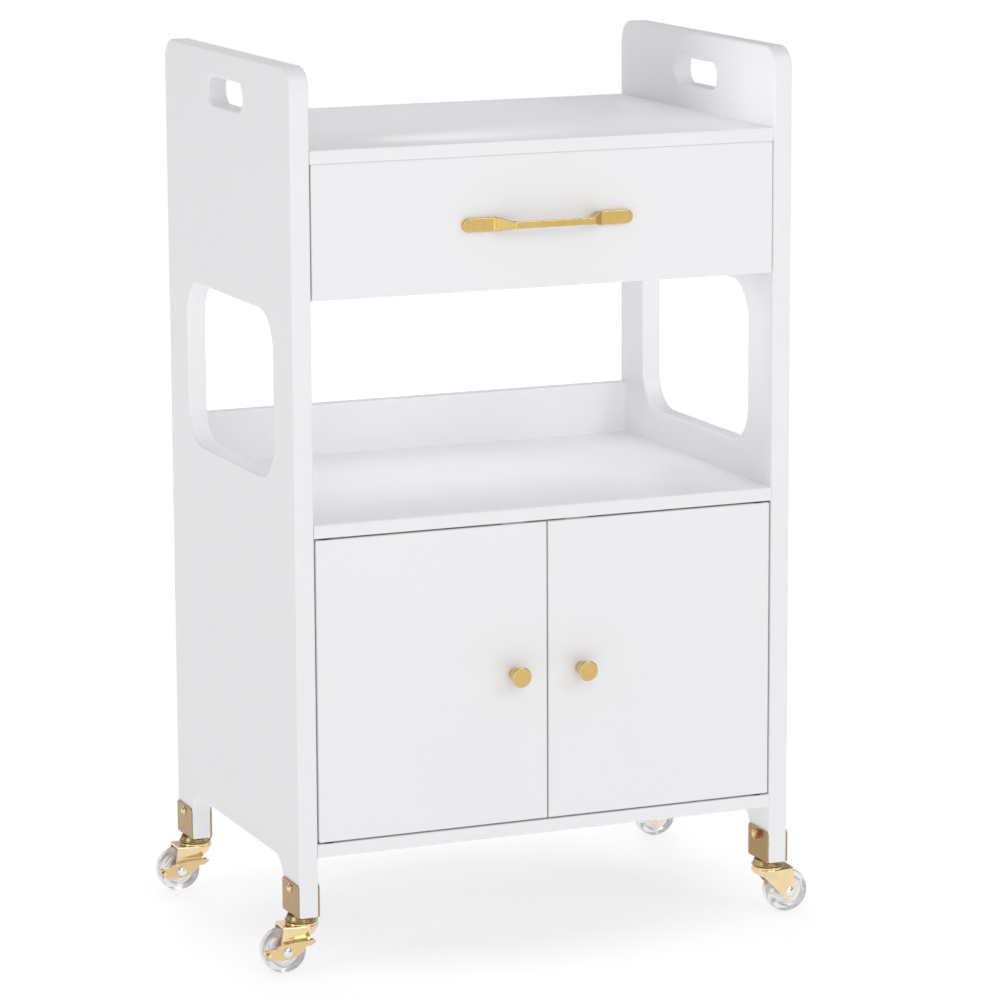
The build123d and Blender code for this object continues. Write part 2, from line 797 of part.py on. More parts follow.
def handle():
    """Bow handle: two rounded pads, legs that taper as they rise, and a slim bar."""
    end = handle_length / 2
    pad_x = end - handle_pad_length
    bar_x = pad_x - handle_leg_run
    lean = handle_leg_run / (handle_standoff - handle_pad_thickness)
    back_y = handle_standoff - handle_bar_depth
    foot_x = pad_x - handle_leg_width
    half_plan = [
        (0, -handle_standoff),
        (bar_x, -handle_standoff),
        (pad_x, -handle_pad_thickness),
        (end, -handle_pad_thickness),
        (end, 0),
        (foot_x, 0),
        (foot_x - lean * back_y, -back_y),
        (0, -back_y),
    ]
    plan = make_face(Polyline(*half_plan, close=True))
    plan = plan + mirror(plan, about=Plane.YZ)
    bends = [v for v in plan.vertices() if min(abs(abs(v.X) - x) for x in (bar_x, pad_x)) < 0.01]
    plan = fillet(bends, handle_bend_radius)
    solid = extrude(plan, handle_pad_height / 2, both=True)
    bar_half, pad_half = handle_bar_height / 2, handle_pad_height / 2
    tip_x = end - pad_half
    tip = ThreePointArc((tip_x, pad_half), (end, 0), (tip_x, -pad_half))
    taper_x = pad_x - handle_leg_run * 0.2
    upper = [(bar_x, bar_half), (taper_x, pad_half), (tip_x, pad_half)]
    lower = [(x, -z) for x, z in reversed(upper)]
    view = make_face(tip + Polyline(*lower, (0, -bar_half), (0, bar_half), *upper))
    view = view + mirror(view, about=Plane.YZ)
    solid = solid & extrude(Plane.XZ * view, handle_standoff + 1, both=True)
    front_edges = [e for e in solid.edges() if (e @ 0.5).Y < -0.5]
    solid = fillet(front_edges, handle_edge_radius)
    middle_z = (drawer_front_bottom_z + drawer_front_top_z) / 2
    return Pos(0, front_y, middle_z) * solid


def knob():
    """Truncated-cone knob on the right-hand door, wide end outwards."""
    base, head = knob_base_diameter / 2, knob_head_diameter / 2
    edge = knob_head_edge
    cone = turned(
        [
            (0, 0),
            (base, 0),
            (head, knob_length - edge * 1.6),
            (head, knob_length - edge),
            (head - edge, knob_length),
            (0, knob_length),
        ]
    )
    return Plane(origin=(knob_offset, front_y, door_mid_z), z_dir=(0, -1, 0)) * cone


def pull_screw(x, z, back_y, bite):
    """Pan-head screw from inside a front, through it and into a knob or handle pad."""
    shank = rod(pull_screw_diameter, (x, back_y, z), (x, front_y - bite, z))
    head = dome_head(pull_screw_head_diameter, pull_screw_head_height, (x, back_y, z), (0, 1, 0))
    return shank + head


def door():
    """Right-hand door: eased front edges, rounded pivot edge, bores for its two pivot pins."""
    outer_x = inner_half - door_side_gap
    slab = block(door_centre_gap / 2, outer_x, front_y, door_back_y, door_bottom_z, door_top_z)
    pivot_edges = edges_along(slab, Axis.Z, lambda p: abs(p.X - outer_x) < 0.01)
    slab = fillet(pivot_edges, door_edge_radius)
    face_edges = edges_along(slab, Axis.X, lambda p: abs(p.Y - front_y) < 0.01)
    free_edges = edges_along(
        slab, Axis.Z, lambda p: abs(p.Y - front_y) < 0.01 and p.X < door_centre_gap
    )
    return chamfer(face_edges + free_edges, door_face_edge_radius)


def door_pivots():
    """Top and bottom pivot pins of the right-hand door, half in the door, half in a bush."""
    pins = []
    for end_z, board_z, out in ((door_top_z, shelf_under_z, 1), (door_bottom_z, bottom_board_z, -1)):
        inside = (pivot_x, pivot_y, end_z - out * pivot_pin_in_door)
        outside = (pivot_x, pivot_y, board_z + out * (bush_depth - 1))
        pins.append(rod(pivot_pin_diameter, inside, outside))
    return pins


def strike():
    """Steel strike plate on the inner face of the right-hand door, facing the catch."""
    mid_z = shelf_under_z - catch_height / 2
    top_z = min(mid_z + strike_height / 2, door_top_z - 0.5)
    return block(
        catch_offset - strike_width / 2,
        catch_offset + strike_width / 2,
        door_back_y,
        door_back_y + strike_thickness,
        top_z - strike_height,
        top_z,
    )


def door_catch():
    """Magnetic catch under the shelf, behind the right-hand door's free edge."""
    catch_y = door_back_y + strike_thickness + catch_gap
    return block(
        catch_offset - catch_width / 2,
        catch_offset + catch_width / 2,
        catch_y,
        catch_y + catch_depth,
        shelf_under_z - catch_height,
        shelf_under_z,
    )


def build():
    """Make every piece, cut its seats with the pieces that it carries, and write the nodes."""
    os.makedirs("parts", exist_ok=True)

    top_board, cams, bolts = fitted(plain_board(top_board_under_z), "top_board")
    shelf, more_cams, more_bolts = fitted(plain_board(shelf_under_z), "middle_shelf")
    cams, bolts = cams + more_cams, bolts + more_bolts
    bottom_board, more_cams, more_bolts = fitted(plain_board(bottom_board_under_z), "bottom_board")
    cams, bolts = cams + more_cams, bolts + more_bolts
    upper_back, more_cams, more_bolts = fitted(
        upright_board(upper_back_bottom_z, top_board_under_z, board_thickness), "upper_back_board"
    )
    cams, bolts = cams + more_cams, bolts + more_bolts
    back_rail, more_cams, more_bolts = fitted(
        upright_board(shelf_top_z, back_rail_top_z, back_rail_thickness),
        "back_rail",
        back_rail_thickness,
    )
    cams, bolts = cams + more_cams, bolts + more_bolts
    back = cupboard_back()

    upper_plug, upper_bush = pivot_bush(shelf_under_z, 1)
    lower_plug, lower_bush = pivot_bush(bottom_board_z, -1)
    bushes = []
    for side in SIDES.values():
        shelf = shelf - mirrored(upper_plug, side)
        bottom_board = bottom_board - mirrored(lower_plug, side)
        bushes += [mirrored(upper_bush, side), mirrored(lower_bush, side)]
    shelf = shelf - back
    bottom_board = bottom_board - back

    blank = side_panel()
    slide_nodes = {}
    for name, side in SIDES.items():
        cabinet, middle, drawer_member = slide_members(side)
        to_panel = slide_screws(side, slide_sheet, side)
        to_drawer = slide_screws(side, slide_thickness - slide_sheet, -side)
        for screw in to_panel:
            cabinet = cabinet - screw
        for screw in to_drawer:
            drawer_member = drawer_member - screw
        slide_nodes[name] = (cabinet, middle, drawer_member, to_panel, to_drawer)
        panel = mirrored(blank, side) - back
        for bolt in bolts:
            if bolt.center().X * side > 0:
                panel = panel - bolt
        for screw in to_panel:
            panel = panel - screw
        for leg_side, y in CORNERS.values():
            if leg_side == side:
                recess_top = panel_bottom_z + kingpin_recess_depth
                leg = Pos(side * leg_x, y, 0)
                recess = rod(kingpin_recess_diameter, (0, 0, panel_bottom_z - 1), (0, 0, recess_top))
                panel = panel - leg * recess - at_corner(strap_bolt(), side, y)
        save(f"side_panel_{name}", panel)

    save("top_board", top_board)
    save("upper_back_board", upper_back)
    save("middle_shelf", shelf)
    save("back_rail", back_rail)
    save("bottom_board", bottom_board)
    save("cupboard_back", back)
    save("cam_locks", *cams)
    save("cam_bolts", *bolts)
    save("pivot_bushes", *bushes)
    save("door_catches", *[mirrored(door_catch(), side) for side in SIDES.values()])

    front, drawer_sides, drawer_back, drawer_bottom = drawer_box()
    handle_z = (drawer_front_bottom_z + drawer_front_top_z) / 2
    pull = handle()
    handle_screws = [
        pull_screw(side * handle_centres / 2, handle_z, drawer_back_of_front_y, handle_screw_bite)
        for side in SIDES.values()
    ]
    for screw in handle_screws:
        front = front - screw
        pull = pull - screw
    save("drawer_front", front)
    save("drawer_handle", pull)
    save("handle_screws", *handle_screws)
    save("drawer_back", drawer_back)
    save("drawer_bottom", drawer_bottom)
    panel_screws, drawer_screws = [], []
    for (name, side), board in zip(SIDES.items(), drawer_sides):
        cabinet, middle, drawer_member, to_panel, to_drawer = slide_nodes[name]
        for screw in to_drawer:
            board = board - screw
        save(f"drawer_side_{name}", board)
        save(f"slide_cabinet_member_{name}", cabinet)
        save(f"slide_middle_member_{name}", middle)
        save(f"slide_drawer_member_{name}", drawer_member)
        panel_screws += to_panel
        drawer_screws += to_drawer
    save("slide_panel_screws", *panel_screws)
    save("slide_drawer_screws", *drawer_screws)

    right_door, right_knob, pins = door(), knob(), door_pivots()
    knob_screw = pull_screw(knob_offset, door_mid_z, door_back_y, knob_screw_bite)
    right_door = right_door - knob_screw
    right_knob = right_knob - knob_screw
    for pin in pins:
        right_door = right_door - pin
    for name, side in SIDES.items():
        save(f"door_{name}", mirrored(right_door, side))
        save(f"knob_{name}", mirrored(right_knob, side))
        save(f"knob_screw_{name}", mirrored(knob_screw, side))
        save(f"door_pivot_pins_{name}", *[mirrored(pin, side) for pin in pins])
        save(f"strike_plate_{name}", mirrored(strike(), side))

    one_fork, one_wheel, one_lever = fork(), wheel(), lever()
    one_strap = strap()
    for name, (side, y) in CORNERS.items():
        head_gap = lever_sheet + 2 * lever_side_play if name in BRAKED else 0
        save(f"caster_strap_{name}", at_corner(one_strap, side, y))
        save(f"fork_{name}", at_corner(one_fork, side, y))
        save(f"axle_{name}", at_corner(axle(head_gap), side, y))
        save(f"wheel_{name}", at_corner(one_wheel, side, y))
        if name in BRAKED:
            save(f"brake_lever_{name}", at_corner(one_lever, side, y))
    for name, shape in (
        ("strap_bolts", strap_bolt()),
        ("strap_nuts", strap_nut()),
        ("swivel_saucers", saucer()),
        ("swivel_washers", swivel_washer()),
        ("kingpins", kingpin()),
    ):
        save(name, *[at_corner(shape, side, y) for side, y in CORNERS.values()])


build()
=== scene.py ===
# %% [markdown]
# # Dressing a white salon trolley
#
# The trolley comes to Blender as a finished set of solids: boards, doors, a drawer on slides, and
# casters that really swivel. This lesson gives those solids their surfaces, swaps a few small
# turned pieces for finer ones, and lights the whole as a studio photograph on white.
# All lengths are in metres, in the frame that the solids already use.

# %% Load the solids and keep their outer box
import bmesh
import bpy
import math
import random
from mathutils import Matrix, Vector


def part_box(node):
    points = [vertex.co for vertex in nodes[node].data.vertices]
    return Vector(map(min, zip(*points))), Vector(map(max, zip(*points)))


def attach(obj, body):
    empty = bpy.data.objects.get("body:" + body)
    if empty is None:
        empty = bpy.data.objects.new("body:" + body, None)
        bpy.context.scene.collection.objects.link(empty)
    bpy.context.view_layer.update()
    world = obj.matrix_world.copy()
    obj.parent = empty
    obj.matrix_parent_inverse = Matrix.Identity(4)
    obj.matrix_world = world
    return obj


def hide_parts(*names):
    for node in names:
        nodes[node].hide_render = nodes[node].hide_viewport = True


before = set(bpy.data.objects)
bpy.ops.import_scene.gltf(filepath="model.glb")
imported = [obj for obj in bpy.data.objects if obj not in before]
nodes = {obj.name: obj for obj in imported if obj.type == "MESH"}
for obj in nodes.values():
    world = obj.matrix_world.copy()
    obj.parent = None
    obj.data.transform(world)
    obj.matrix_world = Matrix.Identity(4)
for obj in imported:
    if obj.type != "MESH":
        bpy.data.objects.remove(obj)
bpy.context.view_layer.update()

# %% [markdown]
# ## The camera
#
# The portrait was taken from the left, a little above the tray, with a long lens from about four
# metres. A long lens keeps the side panels nearly parallel, which is why product pictures use
# one. The camera could be aimed with a track constraint, but here its three turns are known, so
# its axes are worked out and written straight into its matrix.

# %% Set up the camera
LENS_PIXELS, PICTURE_PIXELS, SENSOR_MM = 4484.2, 1000.0, 36.0
CAMERA_EYE = Vector((-1.5275, -3.7196, 1.1540))
CAMERA_YAW, CAMERA_PITCH, CAMERA_ROLL = (math.radians(a) for a in (22.581, 10.898, -0.260))


def aim(yaw, pitch, roll):
    """Camera axes for a turn to the right, a tilt down and a roll."""
    forward = Vector(
        (math.sin(yaw) * math.cos(pitch), math.cos(yaw) * math.cos(pitch), -math.sin(pitch))
    )
    level = Vector((math.cos(yaw), -math.sin(yaw), 0))
    rise = level.cross(forward)
    right = math.cos(roll) * level + math.sin(roll) * rise
    up = math.cos(roll) * rise - math.sin(roll) * level
    return Matrix((right, up, -forward)).transposed()


camera_data = bpy.data.cameras.new("portrait_camera")
camera_data.sensor_width = SENSOR_MM
camera_data.lens = LENS_PIXELS * SENSOR_MM / PICTURE_PIXELS
camera_data.clip_start, camera_data.clip_end = 0.05, 60.0
camera = bpy.data.objects.new("portrait_camera", camera_data)
bpy.context.scene.collection.objects.link(camera)
camera.matrix_world = Matrix.Translation(CAMERA_EYE) @ aim(
    CAMERA_YAW, CAMERA_PITCH, CAMERA_ROLL
).to_4x4()
bpy.context.scene.camera = camera
print("lens:", round(camera_data.lens, 1), "mm, eye at", tuple(round(v, 3) for v in CAMERA_EYE))

# %% [markdown]
# ## The studio
#
# White furniture on white only reads if its faces take different amounts of light. The front is
# the brightest, the outer left side is a step darker, and the tops are darker still. The plain
# transform keeps paper white at paper white. The first helpers turn a direction into a tone: a
# colour ramp is the simplest tool in Blender that does so, and ramps can be multiplied.

# %% Ramps over a direction
scene = bpy.context.scene
scene.view_settings.view_transform = "Standard"
scene.view_settings.look = "None"


def ramp(tree, stops):
    """A colour ramp node from (position, grey or colour) stops."""
    node = tree.nodes.new("ShaderNodeValToRGB")
    points = node.color_ramp.elements
    while len(points) < len(stops):
        points.new(0.5)
    for point, (position, tone) in zip(points, stops):
        point.position = position
        colour = (tone, tone, tone) if isinstance(tone, float) else tone
        point.color = (*colour, 1)
    return node


def by_direction(tree, part, stops):
    """A ramp over one part of the direction, from -1 to 1."""
    span = tree.nodes.new("ShaderNodeMapRange")
    span.inputs["From Min"].default_value = -1.0
    tree.links.new(part, span.inputs["Value"])
    node = ramp(tree, stops)
    tree.links.new(span.outputs[0], node.inputs[0])
    return node.outputs[0]


def multiplied(tree, first, second):
    """Two colours multiplied."""
    product = tree.nodes.new("ShaderNodeMix")
    product.data_type = "RGBA"
    product.blend_type = "MULTIPLY"
    product.inputs["Factor"].default_value = 1.0
    tree.links.new(first, product.inputs[6])
    tree.links.new(second, product.inputs[7])
    return product.outputs[2]


print("view transform:", scene.view_settings.view_transform)

# %% [markdown]
# ## The sky
#
# One sky does three jobs, because the rays that reach it know what kind they are. To the lens it
# is plain paper white. To paint it is a soft gradient that is brightest overhead. Metal shows what
# it mirrors, so for mirrored rays the sky has the dark gaps and bright panels of a real studio.

# %% Layers of sky
PAPER_WHITE = 1.05
OVERHEAD_TONE = tuple(0.86 * c for c in (0.985, 0.99, 1.0))
PANEL_STOPS = [
    (0.0, 0.35), (0.14, 1.0), (0.26, 0.22), (0.42, 0.6), (0.6, 1.0), (0.74, 0.25), (1.0, 0.7)
]
HEIGHT_STOPS = [(0.0, 1.0), (0.55, 1.0), (0.72, 0.42), (1.0, 0.8)]


def sky_layer(tree, colour=None, strength=1.0):
    """Sky light of a linked colour, or plain white."""
    layer = tree.nodes.new("ShaderNodeBackground")
    layer.inputs["Strength"].default_value = strength
    if colour is not None:
        tree.links.new(colour, layer.inputs["Color"])
    else:
        layer.inputs["Color"].default_value = (1, 1, 1, 1)
    return layer.outputs[0]


def chosen(tree, chance, first, second):
    """The first layer, or the second where the chance is 1."""
    either = tree.nodes.new("ShaderNodeMixShader")
    tree.links.new(chance, either.inputs[0])
    tree.links.new(first, either.inputs[1])
    tree.links.new(second, either.inputs[2])
    return either.outputs[0]


print("sky tones:", len(PANEL_STOPS), "panels across and", len(HEIGHT_STOPS), "heights")


# %% Hang the sky
def studio_sky():
    """A sky that is white to the lens, a soft gradient to paint, and panelled to metal."""
    world = bpy.data.worlds.new("studio_sky")
    world.use_nodes = True
    tree = world.node_tree
    tree.nodes.clear()
    place = tree.nodes.new("ShaderNodeTexCoord")
    split = tree.nodes.new("ShaderNodeSeparateXYZ")
    tree.links.new(place.outputs["Generated"], split.inputs[0])
    across, height = (split.outputs[k] for k in ("X", "Z"))
    overhead = by_direction(tree, height, [(0.0, 0.0), (0.5, 0.0), (1.0, OVERHEAD_TONE)])
    panels = by_direction(tree, across, PANEL_STOPS)
    mirrored = multiplied(tree, panels, by_direction(tree, height, HEIGHT_STOPS))
    path = tree.nodes.new("ShaderNodeLightPath")
    out = tree.nodes.new("ShaderNodeOutputWorld")
    lit = sky_layer(tree, overhead)
    gleam = chosen(tree, path.outputs["Is Glossy Ray"], lit, sky_layer(tree, mirrored))
    paper = sky_layer(tree, strength=PAPER_WHITE)
    seen = chosen(tree, path.outputs["Is Camera Ray"], gleam, paper)
    tree.links.new(seen, out.inputs["Surface"])
    return world


scene.world = studio_sky()
print("sky:", scene.world.name, "with", len(scene.world.node_tree.nodes), "nodes")

# %% [markdown]
# ## The lamps
#
# The inside of the open bay is almost as bright as the front, which a dome of light could never
# do. It takes large low banks in front and behind, that shine right into the bay. Each lamp was
# rendered alone once, and their strengths were worked out from those pictures. Four small fills
# lift the bay and the tray, and a narrow spread keeps two of them off what they should not light.
# One strip shows in mirrored rays alone, and draws the bright lines on metal edges. No lamp is
# seen by the lens, and those behind the trolley and the fills are not seen in metal either.

# %% Place the lamps
def soft_lamp(name, place, target, size, watts, spread=180):
    """A studio lamp, square or (wide, deep), that faces a target and that no lens sees."""
    data = bpy.data.lights.new(name, "AREA")
    data.shape = "RECTANGLE"
    data.size, data.size_y = size if isinstance(size, tuple) else (size, size)
    data.energy = watts
    data.spread = math.radians(spread)
    lamp = bpy.data.objects.new(name, data)
    scene.collection.objects.link(lamp)
    lamp.location = place
    lamp.rotation_euler = (Vector(target) - Vector(place)).to_track_quat("-Z", "Y").to_euler()
    lamp.visible_camera = False
    return lamp


MIDDLE = (0, 0, 0.4)
banks = (  # name, place, size, watts
    ("front_left_bank", (-2.3, -3.6, 1.05), 1.8, 7),
    ("front_bank", (-0.2, -4.2, 0.9), 1.6, 14.5),
    ("front_high_bank", (-0.6, -3.4, 2.6), 1.6, 12),
    ("left_bank", (-3.6, -0.6, 1.3), 1.8, 15.5),
    ("back_bank", (0.4, 3.8, 1.1), 1.8, 17),
    ("back_high_bank", (0.4, 3.0, 2.6), 1.6, 24),
    ("key_lamp", (1.6, -2.6, 1.9), 0.8, 11),
)
for name, place, size, watts in banks:
    bank = soft_lamp(name, place, MIDDLE, size, watts)
    bank.visible_glossy = not name.startswith("back")
fills = (  # name, place, target, size, watts, spread in degrees
    ("bay_front_fill", (0, -0.16, 0.52), (0, 0.15, 0.5), (0.42, 0.12), 0.08, 110),
    ("bay_top_fill", (0, -0.01, 0.593), (0, -0.01, 0.43), (0.4, 0.24), 0.08, 180),
    ("tray_fill", (-0.2, -0.1, 0.768), (0.247, -0.115, 0.743), 0.04, 0.032, 45),
    ("top_fill", (0, 0.06, 0.95), (0, 0.05, 0.72), 0.3, 0.03, 60),
)
for name, place, target, size, watts, spread in fills:
    soft_lamp(name, place, target, size, watts, spread).visible_glossy = False
soft_lamp("gleam_strip", (1.2, -1.8, 2.8), MIDDLE, 1.3, 18).visible_diffuse = False

# %% [markdown]
# ## The floor
#
# A white sweep under the trolley: one big sheet, wide enough that its edge is never seen. A
# curved backdrop could stand behind it too, but the sky is already paper white to the lens.

# %% Lay the floor
def plain_mesh(name, corners, faces):
    mesh = bpy.data.meshes.new(name)
    mesh.from_pydata(corners, [], faces)
    mesh.update()
    item = bpy.data.objects.new(name, mesh)
    scene.collection.objects.link(item)
    return item


FLOOR_REACH = 14.0
floor = plain_mesh(
    "studio_floor",
    [(x * FLOOR_REACH, y * FLOOR_REACH, 0) for x, y in ((-1, -1), (1, -1), (1, 1), (-1, 1))],
    [(0, 1, 2, 3)],
)
print("floor laid, half width", FLOOR_REACH)

# %% [markdown]
# ## The floor's glow
#
# The sheet glows a little, as a lit studio sweep does, so that the shadows stay pale and soft. The
# glow is weaker under the trolley, where no lamp reaches, and stronger far away, where the lamps
# thin out. Both come from the distance to the middle of the floor, squeezed to an oval under the
# trolley's own outline.

# %% Let the floor glow
PAPER_TONE = (0.4, 0.4, 0.4, 1)
SHADE_HALF = (0.26, 0.20)
sweep = bpy.data.materials.new("sweep_paper")
sweep.use_nodes = True
paper_shader = sweep.node_tree.nodes["Principled BSDF"]
paper_shader.inputs["Base Color"].default_value = PAPER_TONE
paper_shader.inputs["Roughness"].default_value = 0.9
paper_shader.inputs["Specular IOR Level"].default_value = 0.1
paper_shader.inputs["Emission Color"].default_value = (1, 1, 1, 1)
paper_place = sweep.node_tree.nodes.new("ShaderNodeTexCoord")


def floor_distance(stretch, near, far, low, high):
    """A value that goes from low to high with the distance from the middle of the floor."""
    tree = sweep.node_tree
    fitted = tree.nodes.new("ShaderNodeVectorMath")
    fitted.operation = "MULTIPLY"
    fitted.inputs[1].default_value = stretch
    reach = tree.nodes.new("ShaderNodeVectorMath")
    reach.operation = "LENGTH"
    tree.links.new(paper_place.outputs["Object"], fitted.inputs[0])
    tree.links.new(fitted.outputs[0], reach.inputs[0])
    glow = tree.nodes.new("ShaderNodeMapRange")
    glow.interpolation_type = "SMOOTHSTEP"
    for socket, value in (("From Min", near), ("From Max", far), ("To Min", low), ("To Max", high)):
        glow.inputs[socket].default_value = value
    tree.links.new(reach.outputs["Value"], glow.inputs["Value"])
    return glow.outputs[0]


glow_sum = sweep.node_tree.nodes.new("ShaderNodeMath")
oval = tuple(1 / half for half in SHADE_HALF) + (1,)
under_trolley = floor_distance(oval, near=0.5, far=1.3, low=0.54, high=0.685)
far_away = floor_distance((1, 1, 1), near=1.2, far=4.5, low=0.0, high=0.1)
sweep.node_tree.links.new(under_trolley, glow_sum.inputs[0])
sweep.node_tree.links.new(far_away, glow_sum.inputs[1])
sweep.node_tree.links.new(glow_sum.outputs[0], paper_shader.inputs["Emission Strength"])
floor.data.materials.append(sweep)
print("the floor wears", sweep.name)

# %% [markdown]
# ## How a finish is made
#
# Every finish here is one principled shader with a little texture in its roughness, its tone and
# its bump. Image files could do that too, but textures computed from the surface's own position
# need no files and never blur. The first helpers make a material, a place and a noise.

# %% Helpers for textures
def new_finish(name):
    """A new material, its node tree and its principled shader."""
    finish = bpy.data.materials.new(name)
    finish.use_nodes = True
    tree = finish.node_tree
    return finish, tree, tree.nodes["Principled BSDF"]


def surface_place(tree, stretch=(1, 1, 1)):
    """Positions on the piece, in metres, stretched along its axes."""
    place = tree.nodes.new("ShaderNodeTexCoord")
    mapping = tree.nodes.new("ShaderNodeMapping")
    mapping.inputs["Scale"].default_value = stretch
    tree.links.new(place.outputs["Object"], mapping.inputs["Vector"])
    return mapping.outputs["Vector"]


def noise(tree, place, scale, detail=2.0, roughness=0.5):
    """A noise whose blotches are about 1 / scale metres wide."""
    node = tree.nodes.new("ShaderNodeTexNoise")
    node.inputs["Scale"].default_value = scale
    node.inputs["Detail"].default_value = detail
    node.inputs["Roughness"].default_value = roughness
    tree.links.new(place, node.inputs["Vector"])
    return node.outputs["Fac"]


print("texture helpers ready")

# %% [markdown]
# ## Turning a noise into a finish
#
# A noise stays near a half, so it is stretched to the range that is wanted before it drives a
# roughness. Through a ramp it drives a tone. As a height it drives a bump, and bumps can be
# chained, a coarse one first and a fine one on top.

# %% Helpers for gloss, tone and relief
def spread(tree, value, low, high):
    """Turn a noise, which stays near a half, into values from low to high."""
    node = tree.nodes.new("ShaderNodeMapRange")
    node.inputs["From Min"].default_value = 0.3
    node.inputs["From Max"].default_value = 0.7
    node.inputs["To Min"].default_value = low
    node.inputs["To Max"].default_value = high
    tree.links.new(value, node.inputs["Value"])
    return node.outputs[0]


def tones(tree, value, stops):
    """A colour that follows a value through a ramp."""
    node = ramp(tree, stops)
    tree.links.new(value, node.inputs[0])
    return node.outputs[0]


def relief(tree, shader, heights, normal=None):
    """Chain bumps from (height, depth in metres, strength) onto the shader's normal."""
    for height, depth, strength in heights:
        bump = tree.nodes.new("ShaderNodeBump")
        bump.inputs["Distance"].default_value = depth
        bump.inputs["Strength"].default_value = strength
        tree.links.new(height, bump.inputs["Height"])
        if normal is not None:
            tree.links.new(normal, bump.inputs["Normal"])
        normal = bump.outputs[0]
    tree.links.new(normal, shader.inputs["Normal"])


print("finish helpers ready")

# %% [markdown]
# ## Satin white paint on board
#
# The boards are fibreboard, sprayed and flatted. Sprayed paint is never a mirror: it has a faint
# orange-peel skin about a millimetre across, longer waves where the board swelled, and spots
# where the gloss rises or falls. A plain white with one roughness looks like plastic, so the tone,
# the gloss and the skin each get their own noise at their own scale.

# %% Mix the white paints
def board_paint(name, tone, gloss, skin=1.0):
    """Sprayed paint; gloss is its roughness, and skin is how much orange peel it has."""
    finish, tree, shader = new_finish(name)
    place = surface_place(tree)
    broad = noise(tree, place, scale=5.0, detail=3.0)
    low, high = (tuple(c * k for c in tone) for k in (0.988, 1.0))
    tree.links.new(tones(tree, broad, [(0.35, low), (0.65, high)]), shader.inputs["Base Color"])
    patches = noise(tree, place, scale=38.0, detail=4.0, roughness=0.6)
    tree.links.new(spread(tree, patches, gloss - 0.04, gloss + 0.05), shader.inputs["Roughness"])
    peel = noise(tree, place, scale=780.0)
    waves = noise(tree, place, scale=60.0)
    relief(tree, shader, [(waves, 0.00035, 0.06 * skin), (peel, 0.00006, 0.16 * skin)])
    shader.inputs["Specular IOR Level"].default_value = 0.33
    shader.inputs["Coat Weight"].default_value = 0.06
    shader.inputs["Coat Roughness"].default_value = 0.3
    return finish


WHITE = (0.90, 0.902, 0.915)
white_paint = board_paint("satin_white_paint", WHITE, 0.36)
front_paint = board_paint("front_white_paint", WHITE, 0.33, 0.8)
inner_paint = board_paint("inner_white_paint", tuple(c * 0.985 for c in WHITE), 0.44, 1.2)
foil_white = board_paint("white_foil", tuple(c * 0.97 for c in WHITE), 0.5, 0.6)
print("paints:", white_paint.name, front_paint.name, inner_paint.name, foil_white.name)

# %% [markdown]
# ## Gold
#
# Several golds are on the trolley. The handle and knobs are satin: fine shot-blasting under a thin
# plating spreads every reflection. The forks are polished sheet, so their reflections are sharp
# but wavy, because pressed sheet is never flat, and a bend draws the waves out along it. The
# straps, saucers and levers lie between the two, and the nuts are a redder gold. Some golds get a
# painted highlight on their edges: a Bevel node finds the edges, and where its rolled normal
# leaves the flat one, the base colour is lifted towards white. That costs no geometry and
# leaves the solids as they are.

# %% Helpers for edges and their painted highlight
def softened_edges(tree, radius):
    """A normal that rolls over each sharp edge, as a tumbled metal edge does."""
    node = tree.nodes.new("ShaderNodeBevel")
    node.samples = 6
    node.inputs["Radius"].default_value = radius
    return node.outputs[0]


def edge_share(tree, rolled):
    """How much a spot lies on a rolled edge: 0 on a flat, 1 where the normal has turned far."""
    flat = tree.nodes.new("ShaderNodeNewGeometry")
    agree = tree.nodes.new("ShaderNodeVectorMath")
    agree.operation = "DOT_PRODUCT"
    tree.links.new(rolled, agree.inputs[0])
    tree.links.new(flat.outputs["Normal"], agree.inputs[1])
    share = tree.nodes.new("ShaderNodeMapRange")
    for socket, value in (("From Min", 0.995), ("From Max", 0.9)):
        share.inputs[socket].default_value = value
    tree.links.new(agree.outputs["Value"], share.inputs["Value"])
    return share.outputs[0]


def blended(tree, share, first, second):
    """A linked colour that gives way to a plain one as the share rises."""
    mix = tree.nodes.new("ShaderNodeMix")
    mix.data_type = "RGBA"
    tree.links.new(share, mix.inputs["Factor"])
    tree.links.new(first, mix.inputs[6])
    mix.inputs[7].default_value = (*second, 1)
    return mix.outputs[2]


print("edge helpers ready")


# %% Plate the gold pieces
def gold(name, tone, gloss, grain, wave, edge=0.0004, painted_edge_highlight=0.0, press=1.0):
    """A plated metal; a press below 1 draws its waves out upwards, as bent sheet has them."""
    finish, tree, shader = new_finish(name)
    place = surface_place(tree)
    broad = noise(tree, place, scale=55.0, detail=3.0)
    low, high = (tuple(min(1.0, c * k) for c in tone) for k in (0.93, 1.04))
    colour = tones(tree, broad, [(0.3, low), (0.7, high)])
    rolled = softened_edges(tree, edge)
    # Painted highlight: on rolled edges the base colour is lifted towards white.
    if painted_edge_highlight:
        bright = tuple(c + (1 - c) * painted_edge_highlight for c in tone)
        colour = blended(tree, edge_share(tree, rolled), colour, bright)
    tree.links.new(colour, shader.inputs["Base Color"])
    rub = noise(tree, place, scale=240.0, detail=4.0, roughness=0.65)
    tree.links.new(spread(tree, rub, gloss * 0.88, gloss * 1.14), shader.inputs["Roughness"])
    blast = noise(tree, place, scale=2600.0)
    dents = noise(tree, surface_place(tree, (1, 1, press)), scale=130.0, detail=1.5)
    relief(tree, shader, [(dents, 0.0006, wave), (blast, 0.00003, grain)], rolled)
    shader.inputs["Metallic"].default_value = 1.0
    return finish


